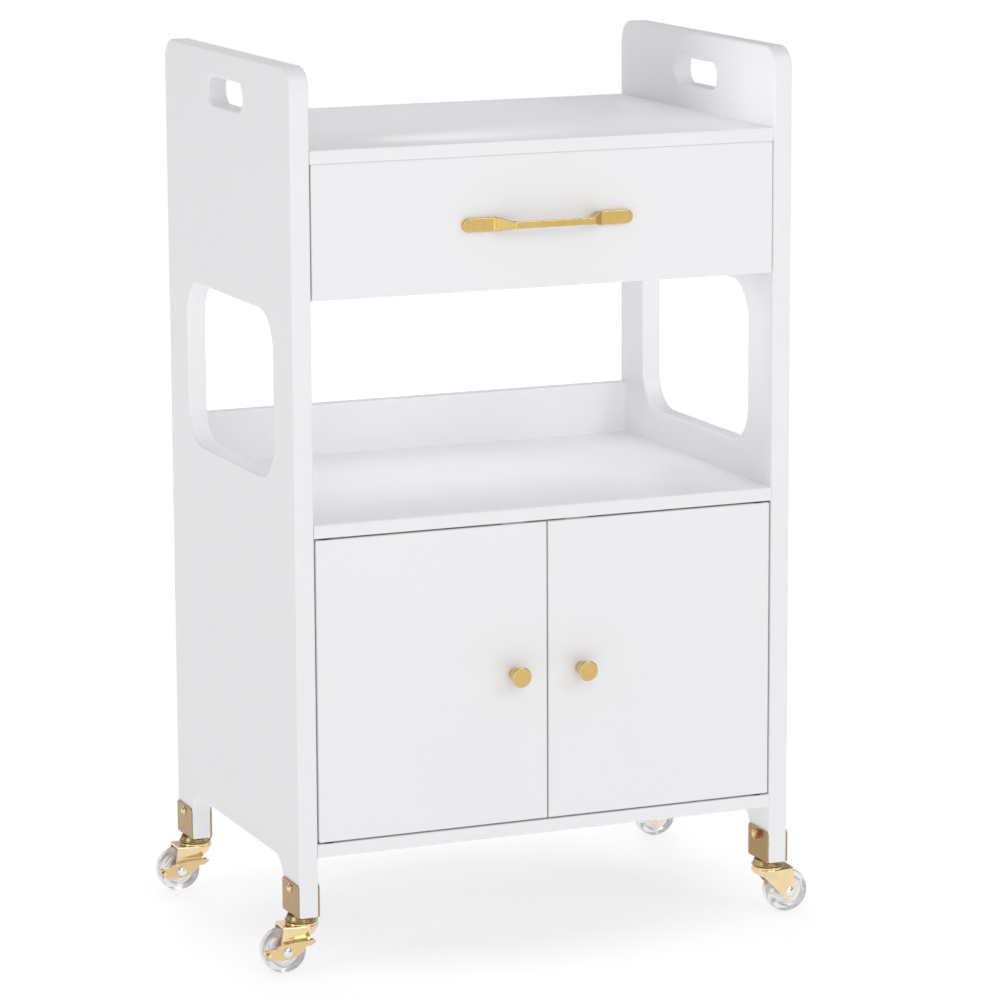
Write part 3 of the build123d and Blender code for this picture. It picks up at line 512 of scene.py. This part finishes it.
satin_gold = gold(
    "satin_gold", (0.66, 0.465, 0.17), gloss=0.26, grain=0.02, wave=0.01, edge=0.0007, painted_edge_highlight=0.7
)
polished_gold = gold(
    "polished_gold", (0.88, 0.70, 0.42), gloss=0.13, grain=0.04, wave=0.3, press=0.25
)
lever_gold = gold(
    "lever_gold", (0.78, 0.58, 0.31), gloss=0.15, grain=0.04, wave=0.12, painted_edge_highlight=0.6
)
saucer_gold = gold("saucer_gold", (0.52, 0.40, 0.19), gloss=0.22, grain=0.06, wave=0.06)
strap_gold = gold(
    "strap_gold", (0.395, 0.255, 0.105), gloss=0.25, grain=0.03, wave=0.03, painted_edge_highlight=0.6
)
copper_gold = gold("copper_gold", (0.80, 0.45, 0.24), gloss=0.17, grain=0.05, wave=0.08)
golds = (satin_gold, polished_gold, lever_gold, saucer_gold, strap_gold, copper_gold)
print("golds:", [finish.name for finish in golds])

# %% [markdown]
# ## Steel, zinc and nylon
#
# The slides are rolled steel under a thin zinc plating, drawn lengthwise through a mill, so their
# scratches all run from front to back: the noise is stretched along that axis. Screws are tumbled
# in the plating drum and have no direction, so the gold function makes their zinc, and the chrome
# of the axles, from another tone. Nylon is dull and faintly mottled.

# %% Make the hidden hardware finishes
def rolled_steel(name, tone, gloss):
    """Zinc-plated steel with drawing lines along Y."""
    finish, tree, shader = new_finish(name)
    along = surface_place(tree, (1, 0.03, 1))
    drawn = noise(tree, along, scale=1500.0, detail=3.0, roughness=0.7)
    spangle = noise(tree, surface_place(tree), scale=90.0, detail=3.0)
    low, high = (tuple(c * k for c in tone) for k in (0.88, 1.0))
    tree.links.new(tones(tree, spangle, [(0.35, low), (0.65, high)]), shader.inputs["Base Color"])
    tree.links.new(spread(tree, drawn, gloss * 0.75, gloss * 1.3), shader.inputs["Roughness"])
    relief(tree, shader, [(drawn, 0.00004, 0.25)])
    shader.inputs["Metallic"].default_value = 1.0
    return finish


def moulded_nylon(name, tone, gloss):
    """Dull plastic with a fine spark-worn skin from its mould."""
    finish, tree, shader = new_finish(name)
    place = surface_place(tree)
    mottle = noise(tree, place, scale=160.0, detail=3.0)
    low, high = (tuple(c * k for c in tone) for k in (0.94, 1.0))
    tree.links.new(tones(tree, mottle, [(0.35, low), (0.65, high)]), shader.inputs["Base Color"])
    tree.links.new(spread(tree, mottle, gloss - 0.06, gloss + 0.08), shader.inputs["Roughness"])
    relief(tree, shader, [(noise(tree, place, scale=1900.0), 0.00005, 0.3)])
    return finish


slide_steel = rolled_steel("drawn_steel", (0.66, 0.67, 0.68), gloss=0.3)
zinc = gold("bright_zinc", (0.76, 0.78, 0.82), gloss=0.22, grain=0.12, wave=0.06)
chrome = gold("chrome_rivet", (0.84, 0.85, 0.90), gloss=0.09, grain=0.02, wave=0.05)
white_nylon = moulded_nylon("pale_nylon", (0.80, 0.80, 0.78), gloss=0.5)
dark_nylon = moulded_nylon("black_nylon", (0.03, 0.03, 0.032), gloss=0.45)
print("hardware finishes:", slide_steel.name, zinc.name, chrome.name)

# %% [markdown]
# ## Clear wheels
#
# The wheels are cast from clear plastic that is faintly milky. What is seen is mostly what it
# bends: the white floor, the gold fork and its own inner edges. Transmission with an index near
# the plastic's own does that, the share that isn't clear scatters light as plain white, and a
# weak bump stands for the flow lines of the casting.

# %% Cast the wheel plastic
PLASTIC_INDEX = 1.42


def clear_cast(name, tint, gloss, clear):
    """Clear plastic; clear is the share of light that goes through."""
    finish, tree, shader = new_finish(name)
    place = surface_place(tree)
    flow = noise(tree, place, scale=140.0)
    tree.links.new(spread(tree, flow, gloss * 0.6, gloss * 1.6), shader.inputs["Roughness"])
    low = tuple(c * 0.985 for c in tint)
    tree.links.new(tones(tree, flow, [(0.3, low), (0.7, tint)]), shader.inputs["Base Color"])
    relief(tree, shader, [(flow, 0.0004, 0.05)])
    shader.inputs["Transmission Weight"].default_value = clear
    shader.inputs["IOR"].default_value = PLASTIC_INDEX
    return finish


clear_plastic = clear_cast("cast_plastic", (0.975, 0.962, 0.985), gloss=0.13, clear=0.76)
print("clear finish:", clear_plastic.name)

# %% [markdown]
# ## Finishes on the solids
#
# A solid keeps its shape and the shading normals that came with it, so its curved faces are
# already smooth. Only its finish changes. A table of names is the plainest way to say which solid
# wears what, and a loop adds the pieces that come in pairs or in fours.

# %% Choose a finish for each solid
CORNERS = ("front_left", "front_right", "rear_left", "rear_right")
finish_of = {
    "top_board": white_paint,
    "middle_shelf": white_paint,
    "bottom_board": white_paint,
    "back_rail": white_paint,
    "upper_back_board": inner_paint,
    "cupboard_back": foil_white,
    "drawer_front": front_paint,
    "drawer_back": inner_paint,
    "drawer_bottom": foil_white,
    "drawer_handle": satin_gold,
    "cam_bolts": zinc,
    "swivel_washers": dark_nylon,
    "kingpins": polished_gold,
    "swivel_saucers": saucer_gold,
    "strap_bolts": polished_gold,
    "strap_nuts": copper_gold,
    "cam_locks": zinc,
    "pivot_bushes": dark_nylon,
    "door_catches": white_nylon,
    "slide_panel_screws": zinc,
    "slide_drawer_screws": zinc,
    "handle_screws": zinc,
}
for side in ("left", "right"):
    finish_of["side_panel_" + side] = white_paint
    finish_of["drawer_side_" + side] = inner_paint
    finish_of["door_" + side] = front_paint
    finish_of["knob_" + side] = satin_gold
    finish_of["knob_screw_" + side] = zinc
    finish_of["door_pivot_pins_" + side] = zinc
    finish_of["strike_plate_" + side] = zinc
    for member in ("cabinet", "middle", "drawer"):
        finish_of[f"slide_{member}_member_{side}"] = slide_steel
for corner in CORNERS:
    finish_of["caster_strap_" + corner] = strap_gold
    finish_of["fork_" + corner] = polished_gold
    finish_of["axle_" + corner] = chrome
    finish_of["wheel_" + corner] = clear_plastic
for corner in ("front_left", "rear_left"):
    finish_of["brake_lever_" + corner] = lever_gold
print("finishes chosen for", len(finish_of), "solids")


# %% Dress the solids
def wear(item, finish):
    """Give a piece one finish in all its slots."""
    if not item.data.materials:
        item.data.materials.append(finish)
    for index in range(len(item.data.materials)):
        item.data.materials[index] = finish


for name, item in nodes.items():
    wear(item, finish_of[name])
print("dressed:", len(nodes), "solids with", len({m.name for m in finish_of.values()}), "finishes")

# %% [markdown]
# ## Tools for small turned pieces
#
# Screws, bolts, saucers and wheels are all turned shapes. A half outline of (radius, height)
# points is spun round the Z axis, and its corners are eased first, because a turned edge is never
# a knife edge. A hexagon nut is the same idea with a radius that changes with the angle. Each
# mesh is made once in its own frame and then placed as often as it is needed.

# %% Ease an outline
MM = 0.001


def eased(points, size, steps=3, ring=False):
    """Round the corners of an outline with short curves that start size away from them."""
    out = []
    count = len(points)
    for i, here in enumerate(points):
        if not ring and i in (0, count - 1):
            out.append(here)
            continue
        here = Vector(here)
        before, after = Vector(points[i - 1]), Vector(points[(i + 1) % count])
        start = here + (before - here).normalized() * min(size, (before - here).length * 0.45)
        end = here + (after - here).normalized() * min(size, (after - here).length * 0.45)
        for k in range(steps + 1):
            t = k / steps
            spot = start * (1 - t) ** 2 + here * 2 * t * (1 - t) + end * t**2
            out.append(tuple(spot))
    return out


corner_curve = eased([(0, 0), (1, 0), (1, 1)], 0.4)
print("an eased corner:", [tuple(round(v, 2) for v in point) for point in corner_curve])

# %% [markdown]
# ## Rings and spun meshes
#
# BMesh builds a mesh face by face. Each outline point becomes a ring of vertices, and neighbouring
# rings are joined. A Screw modifier would do the same, but rings can also take a radius or a
# height that changes with the angle, which the nuts need.

# %% Rings of vertices
def join_rings(bm, low, high):
    """Faces between two rings of vertices; a ring of one vertex is a pole."""
    count = max(len(low), len(high))
    for i in range(count):
        j = (i + 1) % count
        corners = []
        for ring, k in ((low, i), (low, j), (high, j), (high, i)):
            vertex = ring[k % len(ring)]
            if vertex not in corners:
                corners.append(vertex)
        if len(corners) > 2:
            bm.faces.new(corners)


def ring_of(bm, radius, height, count):
    """A ring of vertices; radius and height are numbers or functions of the angle."""
    if not callable(radius) and radius < 1e-7:
        return [bm.verts.new((0, 0, height))]
    ring = []
    for i in range(count):
        angle = 2 * math.pi * i / count
        r = radius(angle) if callable(radius) else radius
        z = height(angle) if callable(height) else height
        ring.append(bm.verts.new((r * math.cos(angle), r * math.sin(angle), z)))
    return ring


print("ring tools ready")


# %% Spin an outline
def finished_mesh(bm, name, crease=32):
    """Close a bmesh into a mesh in metres with outward normals and crisp sharp edges."""
    bmesh.ops.recalc_face_normals(bm, faces=bm.faces)
    bmesh.ops.scale(bm, vec=(MM, MM, MM), verts=bm.verts)
    mesh = bpy.data.meshes.new(name)
    bm.to_mesh(mesh)
    bm.free()
    mesh.polygons.foreach_set("use_smooth", [True] * len(mesh.polygons))
    mesh.set_sharp_from_angle(angle=math.radians(crease))
    return mesh


def spun(name, outline, count=72, ring=False, crease=32):
    """Spin an outline of (radius, height) in millimetres about Z."""
    bm = bmesh.new()
    rings = [ring_of(bm, radius, height, count) for radius, height in outline]
    for low, high in zip(rings, rings[1:]):
        join_rings(bm, low, high)
    if ring:
        join_rings(bm, rings[-1], rings[0])
    return finished_mesh(bm, name, crease)


print("spinning tools ready")

# %% [markdown]
# ## Threads and screws
#
# A thread this small is drawn as stacked crests and roots, since no one can see that it does not
# climb. The cross recess is a twelve-cornered outline sunk into the head, narrower at its floor.

# %% Screw tools
ARM_HALF, ARM_REACH, RECESS_TAPER, RECESS_SHARE, RECESS_DEEPEST = 0.055, 0.80, 0.72, 0.16, 1.4


def thread(radius, depth, top, bottom, pitch):
    """Outline points of a thread's crests and roots, from top down to bottom."""
    points = []
    z = top
    while z - pitch > bottom:
        points += [(radius - depth, z), (radius, z - pitch * 0.5)]
        z -= pitch
    return points + [(radius - depth, bottom)]


def screw_mesh(name, head, rise, shank, length, pitch, flat=0.62):
    """Cross-recess screw along Z: its head sits on Z = 0 and its tip is at -length."""
    bm = bmesh.new()
    count = 48
    top = ring_of(bm, head / 2 * flat, rise, count)
    arm, reach = head * ARM_HALF, head * 0.5 * flat * ARM_REACH
    mark = [
        (reach, -arm), (reach, arm), (arm, arm), (arm, reach), (-arm, reach), (-arm, arm),
        (-reach, arm), (-reach, -arm), (-arm, -arm), (-arm, -reach), (arm, -reach), (arm, -arm),
    ]
    rim = [bm.verts.new((x, y, rise)) for x, y in mark]
    floor_z = rise - min(head * RECESS_SHARE, RECESS_DEEPEST)
    pit = [bm.verts.new((x * RECESS_TAPER, y * RECESS_TAPER, floor_z)) for x, y in mark]
    edges = [bm.edges.new((ring[i - 1], ring[i])) for ring in (top, rim) for i in range(len(ring))]
    bmesh.ops.triangle_fill(bm, edges=edges, use_beauty=True)
    join_rings(bm, rim, pit)
    bm.faces.new(pit)
    half = head / 2
    crown = eased(
        [(half * flat, rise), (half * 0.93, rise * 0.72), (half, 0.12 * rise), (half, 0)], 0.3
    )
    tail = [(shank / 2, 0)] + thread(shank / 2, shank * 0.11, -0.6, -length + shank * 0.6, pitch)
    last = top
    for radius, height in crown[1:] + tail + [(0, -length)]:
        ring = ring_of(bm, radius, height, count)
        join_rings(bm, last, ring)
        last = ring
    return finished_mesh(bm, name)


print("screw tools ready")

# %% [markdown]
# ## Placing a piece
#
# Every mesh here is made standing on Z. Placing it means aiming its Z at a direction, moving it to
# its spot, giving it its finish, hanging it on the body that carries it, and hiding the solid it
# stands for, if any.

# %% Place a piece on its body
def place_piece(name, mesh, spot, direction, body, finish, slot, *stands_for, lean=0.0):
    """Put a mesh that was made along Z at a spot in metres, along a direction."""
    aimed = Vector(direction).normalized().to_track_quat("Z", "X").to_matrix().to_4x4()
    item = bpy.data.objects.new(name, mesh)
    scene.collection.objects.link(item)
    item.matrix_world = Matrix.Translation(spot) @ aimed @ Matrix.Rotation(lean, 4, "Z")
    wear(item, finish)
    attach(item, body)
    if stands_for:
        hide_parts(*stands_for)
    return item


random.seed(11)
print("placing tool ready")

# %% [markdown]
# ## Where the casters are
#
# Each strap wraps a leg, so the middle of a strap's box is the line that its caster turns about.
# Everything else on the caster is placed from that line, and from the box of its wheel.

# %% Find the casters
casters = {}
for corner in CORNERS:
    low, high = (Vector(c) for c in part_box("caster_strap_" + corner))
    wheel_low, wheel_high = (Vector(c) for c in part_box("wheel_" + corner))
    side = -1 if corner.endswith("left") else 1
    casters[corner] = {
        "side": side,
        "line": ((low.x + high.x) / 2, (low.y + high.y) / 2),
        "outer_x": low.x if side < 0 else high.x,
        "inner_x": high.x if side < 0 else low.x,
        "base_z": low.z,
        "top_z": high.z,
        "hub": (wheel_low + wheel_high) / 2,
    }
    print(corner, "turns about", [round(v, 4) for v in casters[corner]["line"]])

# %% [markdown]
# ## Wheels
#
# One clear casting: a hub, a web that is thinned from both sides with two low ribs round it, a
# rim, and a tread with rounded shoulders and the fine line where the two halves of its mould met.

# %% Cast the wheels
WHEEL_R, WHEEL_HALF, HUB_HALF = 19.98, 8.0, 8.7


def wheel_half():
    """Outline of one side of the wheel, from the bore out to the middle of the tread."""
    web = eased([(6.4, 5.4), (6.6, 5.0), (8.6, 5.0), (8.9, 5.35), (9.3, 5.35), (9.6, 5.0),
                 (11.4, 5.0), (11.7, 5.35), (12.1, 5.35), (12.4, 5.0), (13.4, 5.0)], 0.12, 2)
    hub = eased([(2.56, HUB_HALF), (5.6, HUB_HALF), (6.4, 5.4)], 0.35)
    rim = eased([(13.4, 5.0), (14.5, WHEEL_HALF), (17.0, WHEEL_HALF), (19.1, 7.1), (WHEEL_R, 5.0),
                 (WHEEL_R, 0.22)], 0.7, 4)
    return hub[:-1] + web + rim[1:] + [(WHEEL_R - 0.12, 0.08)]


upper = wheel_half()
wheel_mesh = spun(
    "clear_wheel", upper + [(r, -z) for r, z in reversed(upper)], 128, ring=True, crease=40
)
for corner, c in casters.items():
    place_piece(
        "clear_wheel_" + corner, wheel_mesh, c["hub"], (0, -1, 0), "rolling_" + corner,
        clear_plastic, "clear_plastic", "wheel_" + corner,
    )
print("wheels:", len(casters), "with", len(wheel_mesh.polygons), "faces each")

# %% [markdown]
# ## Saucers and swivel rivets
#
# A saucer is pressed from sheet: a rolled rim, a narrow step, and a flank that curves up to the
# strap. The rivet through it has a flat head below and a peened head above, with the dimple that
# the riveting tool leaves.

# %% Press the saucers and turn the rivets
SAUCER_TALL, RIVET_DROP = 5.1, 11.9
saucer_mesh = spun(
    "pressed_saucer",
    [(4.0, 0.0)]
    + eased([(4.0, 0.0), (14.85, 0.0), (14.88, 1.0), (14.1, 1.25), (13.7, 2.4), (12.5, 5.1),
             (4.0, 5.1)], 0.35, 3)[1:],
    112, ring=True,
)
rivet_outline = [(0.0, 0.55)] + eased(
    [(0.0, 0.55), (2.2, 0.35), (2.6, 0.0), (5.5, 0.0), (6.5, 1.0), (6.5, 2.0), (3.95, 2.0),
     (3.95, 13.12), (5.45, 13.12), (4.5, 14.55), (1.7, 14.6), (0.0, 14.0)], 0.25, 3
)[1:]
rivet_mesh = spun("swivel_rivet", rivet_outline, 56)
for corner, c in casters.items():
    x, y = c["line"]
    place_piece(
        "saucer_" + corner, saucer_mesh, (x, y, c["base_z"] - SAUCER_TALL * MM), (0, 0, 1),
        "carcass", saucer_gold, "gold", "swivel_saucers",
    )
    place_piece(
        "swivel_rivet_" + corner, rivet_mesh, (x, y, c["base_z"] - RIVET_DROP * MM), (0, 0, 1),
        "carcass", polished_gold, "gold", "kingpins",
    )
print("saucers and rivets placed")

# %% [markdown]
# ## Cross bolts
#
# The bolt through each strap has a low collar and a domed middle, and its nut sits on the inner
# ear. A real hexagon nut has its corners cut back by a cone, which leaves the curved bright arcs
# on its flats. Here the height of the nut's edge simply drops with the distance past the flats.

# %% Make the bolts
BOLT_BELOW_TOP = 6.0
bolt_mesh = spun(
    "strap_bolt",
    [(0.0, 2.6)]
    + eased([(0.0, 2.6), (1.6, 2.5), (2.6, 1.9), (2.9, 0.75), (3.25, 0.6), (3.9, 0.75),
             (4.0, 0.35), (4.0, 0.0), (2.45, 0.0)], 0.3, 3)[1:]
    + thread(2.45, 0.22, -18.6, -25.0, 0.8)
    + [(0.0, -25.6)],
    64,
)
print("bolt mesh:", len(bolt_mesh.polygons), "faces")

# %% Make the nuts and place both
NUT_FLAT_HALF, NUT_TALL, CONE_SLOPE = 4.0, 4.5, 0.75


def nut_reach(angle):
    """Distance from a hexagon's middle to its edge, with corners on the X axis."""
    turn = (angle + math.pi / 6) % (math.pi / 3) - math.pi / 6
    return NUT_FLAT_HALF / math.cos(math.pi / 6 - abs(turn))


def nut_drop(angle):
    """How far the cone has cut the nut's end back at this angle."""
    return max(0.0, nut_reach(angle) - NUT_FLAT_HALF - 0.02) * CONE_SLOPE


bm = bmesh.new()
sections = [
    (2.52, 0.0), (3.8, 0.0), (nut_reach, nut_drop), (nut_reach, lambda a: NUT_TALL - nut_drop(a)),
    (3.95, NUT_TALL), (3.0, NUT_TALL), (2.52, 4.1),
]
nut_rings = [ring_of(bm, radius, height, 96) for radius, height in sections]
for low, high in zip(nut_rings, nut_rings[1:] + nut_rings[:1]):
    join_rings(bm, low, high)
nut_mesh = finished_mesh(bm, "strap_nut", 24)
for corner, c in casters.items():
    y, z = c["line"][1], c["top_z"] - BOLT_BELOW_TOP * MM
    place_piece(
        "strap_bolt_" + corner, bolt_mesh, (c["outer_x"], y, z), (c["side"], 0, 0), "carcass",
        polished_gold, "gold", "strap_bolts",
    )
    place_piece(
        "strap_nut_" + corner, nut_mesh, (c["inner_x"], y, z), (-c["side"], 0, 0), "carcass",
        copper_gold, "gold", "strap_nuts", lean=math.pi / 6,
    )
print("bolts and nuts placed on", len(casters), "straps")

# %% [markdown]
# ## The dimple in each brake lever
#
# A stamped lever has a small round dimple near its tail, pushed out by the press so that the tail
# stays stiff. It catches the light as one bright dot. It turns with the lever, so it rides the
# brake's own body. Its spot is read from the lever's vertices nearest the tail.

# %% Press the lever dimples
DIMPLE_R, TAIL_LONG, DIMPLE_FROM_TAIL = 1.9, 6.5, 4.2
dimple_mesh = spun(
    "lever_dimple",
    [(0.0, 0.62), (0.55, 0.58), (1.05, 0.42), (1.45, 0.2), (DIMPLE_R, 0.0), (DIMPLE_R, -0.3),
     (0.0, -0.3)],
    48, crease=60,
)
for corner in ("front_left", "rear_left"):
    lever = nodes["brake_lever_" + corner]
    spots = [lever.matrix_world @ v.co for v in lever.data.vertices]
    tail_x = min(s.x for s in spots)
    tail = [s for s in spots if s.x < tail_x + TAIL_LONG * MM]
    heights = [s.z for s in tail]
    spot = (
        tail_x + DIMPLE_FROM_TAIL * MM, min(s.y for s in tail), (min(heights) + max(heights)) / 2
    )
    place_piece(
        "lever_dimple_" + corner, dimple_mesh, spot, (0, -1, 0), "brake_" + corner,
        polished_gold, "gold",
    )
    print(corner, "dimple at", [round(v, 4) for v in spot])

# %% [markdown]
# ## Screws
#
# Every screw in the trolley is a cross-recess screw of some size. The flat ones hold the slides,
# and the domed ones hold the handle and the knobs from inside.

# %% Make the screws
slide_screw = screw_mesh("slide_screw", 6.95, 0.75, 3.4, 10.9, 1.3, flat=0.8)
pull_screw = screw_mesh("pull_screw", 7.9, 1.95, 3.9, 18.2, 0.7)
knob_screw = screw_mesh("knob_screw", 7.9, 1.95, 3.9, 22.9, 0.7)
print("screw meshes:", slide_screw.name, pull_screw.name, knob_screw.name)

# %% Drive the slide screws
SLIDE_SCREW_LONG, SLIDE_HEAD_RISE, SLIDE_HEAD_HALF = 11.0, 0.8, 3.5
slide_low, slide_high = (Vector(c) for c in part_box("slide_panel_screws"))
drawer_low, _ = (Vector(c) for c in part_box("slide_drawer_screws"))
screw_z = (slide_low.z + slide_high.z) / 2
half_head = SLIDE_HEAD_HALF * MM
rows = (slide_low.y + half_head, (slide_low.y + slide_high.y) / 2, slide_high.y - half_head)
for side, sign in (("left", -1), ("right", 1)):
    for number, y in enumerate(rows, 1):
        x = sign * (abs(slide_low.x) - SLIDE_SCREW_LONG * MM)
        place_piece(
            f"slide_panel_screw_{side}_{number}", slide_screw, (x, y, screw_z), (-sign, 0, 0),
            "carcass", zinc, "zinc", "slide_panel_screws", lean=random.uniform(0, 1.5),
        )
        x = sign * (abs(drawer_low.x) - SLIDE_HEAD_RISE * MM)
        place_piece(
            f"slide_drawer_screw_{side}_{number}", slide_screw, (x, y, screw_z), (sign, 0, 0),
            "drawer", zinc, "zinc", "slide_drawer_screws", lean=random.uniform(0, 1.5),
        )

# %% Drive the handle and knob screws
PAN_HEAD_HALF, PAN_HEAD_RISE = 4.0, 2.0
low, high = (Vector(c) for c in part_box("handle_screws"))
for side, x in (("left", low.x + PAN_HEAD_HALF * MM), ("right", high.x - PAN_HEAD_HALF * MM)):
    place_piece(
        "handle_screw_" + side, pull_screw,
        (x, high.y - PAN_HEAD_RISE * MM, (low.z + high.z) / 2),
        (0, 1, 0), "drawer", zinc, "zinc", "handle_screws", lean=random.uniform(0, 1.5),
    )
for side in ("left", "right"):
    low, high = (Vector(c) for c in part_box("knob_screw_" + side))
    place_piece(
        "knob_pan_screw_" + side, knob_screw,
        ((low.x + high.x) / 2, high.y - PAN_HEAD_RISE * MM, (low.z + high.z) / 2), (0, 1, 0),
        side + "_door_set", zinc, "zinc", "knob_screw_" + side, lean=random.uniform(0, 1.5),
    )

# %% [markdown]
# ## The drawer front's edge band
#
# The cut edge of a board front is closed with a thin glued band, which also trims the gap under
# the top board to a hair. It is a strip with softened edges, glued along the front's top. A block
# with bevelled edges is the shape for it, and for the catches further on, so that comes first.

# %% Blocks with eased edges
def soft_block(bm, low, high, ease, segments=2):
    """Add a block with eased edges, in millimetres."""
    made = bmesh.ops.create_cube(bm, size=1.0)["verts"]
    middle, size = (Vector(low) + Vector(high)) / 2, Vector(high) - Vector(low)
    for vertex in made:
        vertex.co = Vector(p * s for p, s in zip(vertex.co, size)) + middle
    edges = {edge for vertex in made for edge in vertex.link_edges}
    bmesh.ops.bevel(
        bm, geom=list(edges), offset=ease, segments=segments, profile=0.6, affect="EDGES"
    )


def blocks_mesh(name, blocks):
    """One mesh from (low corner, high corner, edge) blocks."""
    bm = bmesh.new()
    for low, high, ease in blocks:
        soft_block(bm, low, high, ease)
    return finished_mesh(bm, name, 40)


print("block tools ready")

# %% Glue on the edge band
BAND_THICK, BAND_SUNK, BAND_EASE, END_INSET, SIDE_INSET = 0.8, 0.2, 0.25, 0.5, 0.3
low, high = (Vector(c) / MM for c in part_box("drawer_front"))
half_long = (high.x - low.x) / 2 - END_INSET
half_deep = (high.y - low.y) / 2 - SIDE_INSET
band_mesh = blocks_mesh("edge_band", [
    ((-half_long, -half_deep, -BAND_SUNK), (half_long, half_deep, BAND_THICK), BAND_EASE),
])
place_piece(
    "drawer_front_edge_band", band_mesh,
    ((low.x + high.x) / 2 * MM, (low.y + high.y) / 2 * MM, high.z * MM), (0, 0, 1), "drawer",
    front_paint, "white_paint",
)
print("band glued, thick", BAND_THICK, "mm")

# %% [markdown]
# ## Door catches
#
# A magnetic catch is a moulded housing that holds a magnet between two steel pole plates, which
# stand a little proud of it and touch the plate on the door.

# %% Build the catches
CATCH_HALF = 11.0
housing_mesh = blocks_mesh("catch_housing", [
    ((-10.9, 1.0, -12.9), (10.9, 14.9, -1.4), 0.9),
    ((-10.9, 3.0, -1.8), (10.9, 12.0, 0.0), 0.5),
    ((-8.6, 0.75, -11.2), (-5.6, 1.6, -3.0), 0.25),
    ((5.6, 0.75, -11.2), (8.6, 1.6, -3.0), 0.25),
])
poles_mesh = blocks_mesh("catch_poles", [
    ((-7.4, 0.1, -4.6), (7.4, 6.0, -3.2), 0.2),
    ((-7.4, 0.1, -10.4), (7.4, 6.0, -9.0), 0.2),
])
magnet_mesh = blocks_mesh("catch_magnet", [((-6.8, 0.7, -8.9), (6.8, 6.0, -4.7), 0.25)])
catch_low, catch_high = (Vector(c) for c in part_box("door_catches"))
for side, sign in (("left", -1), ("right", 1)):
    spot = (sign * (catch_high.x - CATCH_HALF * MM), catch_low.y, catch_high.z)
    for part, mesh, finish, slot in (
        ("housing", housing_mesh, white_nylon, "white_nylon"),
        ("poles", poles_mesh, zinc, "zinc"),
        ("magnet", magnet_mesh, dark_nylon, "dark_nylon"),
    ):
        place_piece(
            f"catch_{part}_{side}", mesh, spot, (0, 0, 1), "carcass", finish, slot, "door_catches"
        )
print("catches built at", [round(v, 4) for v in spot])
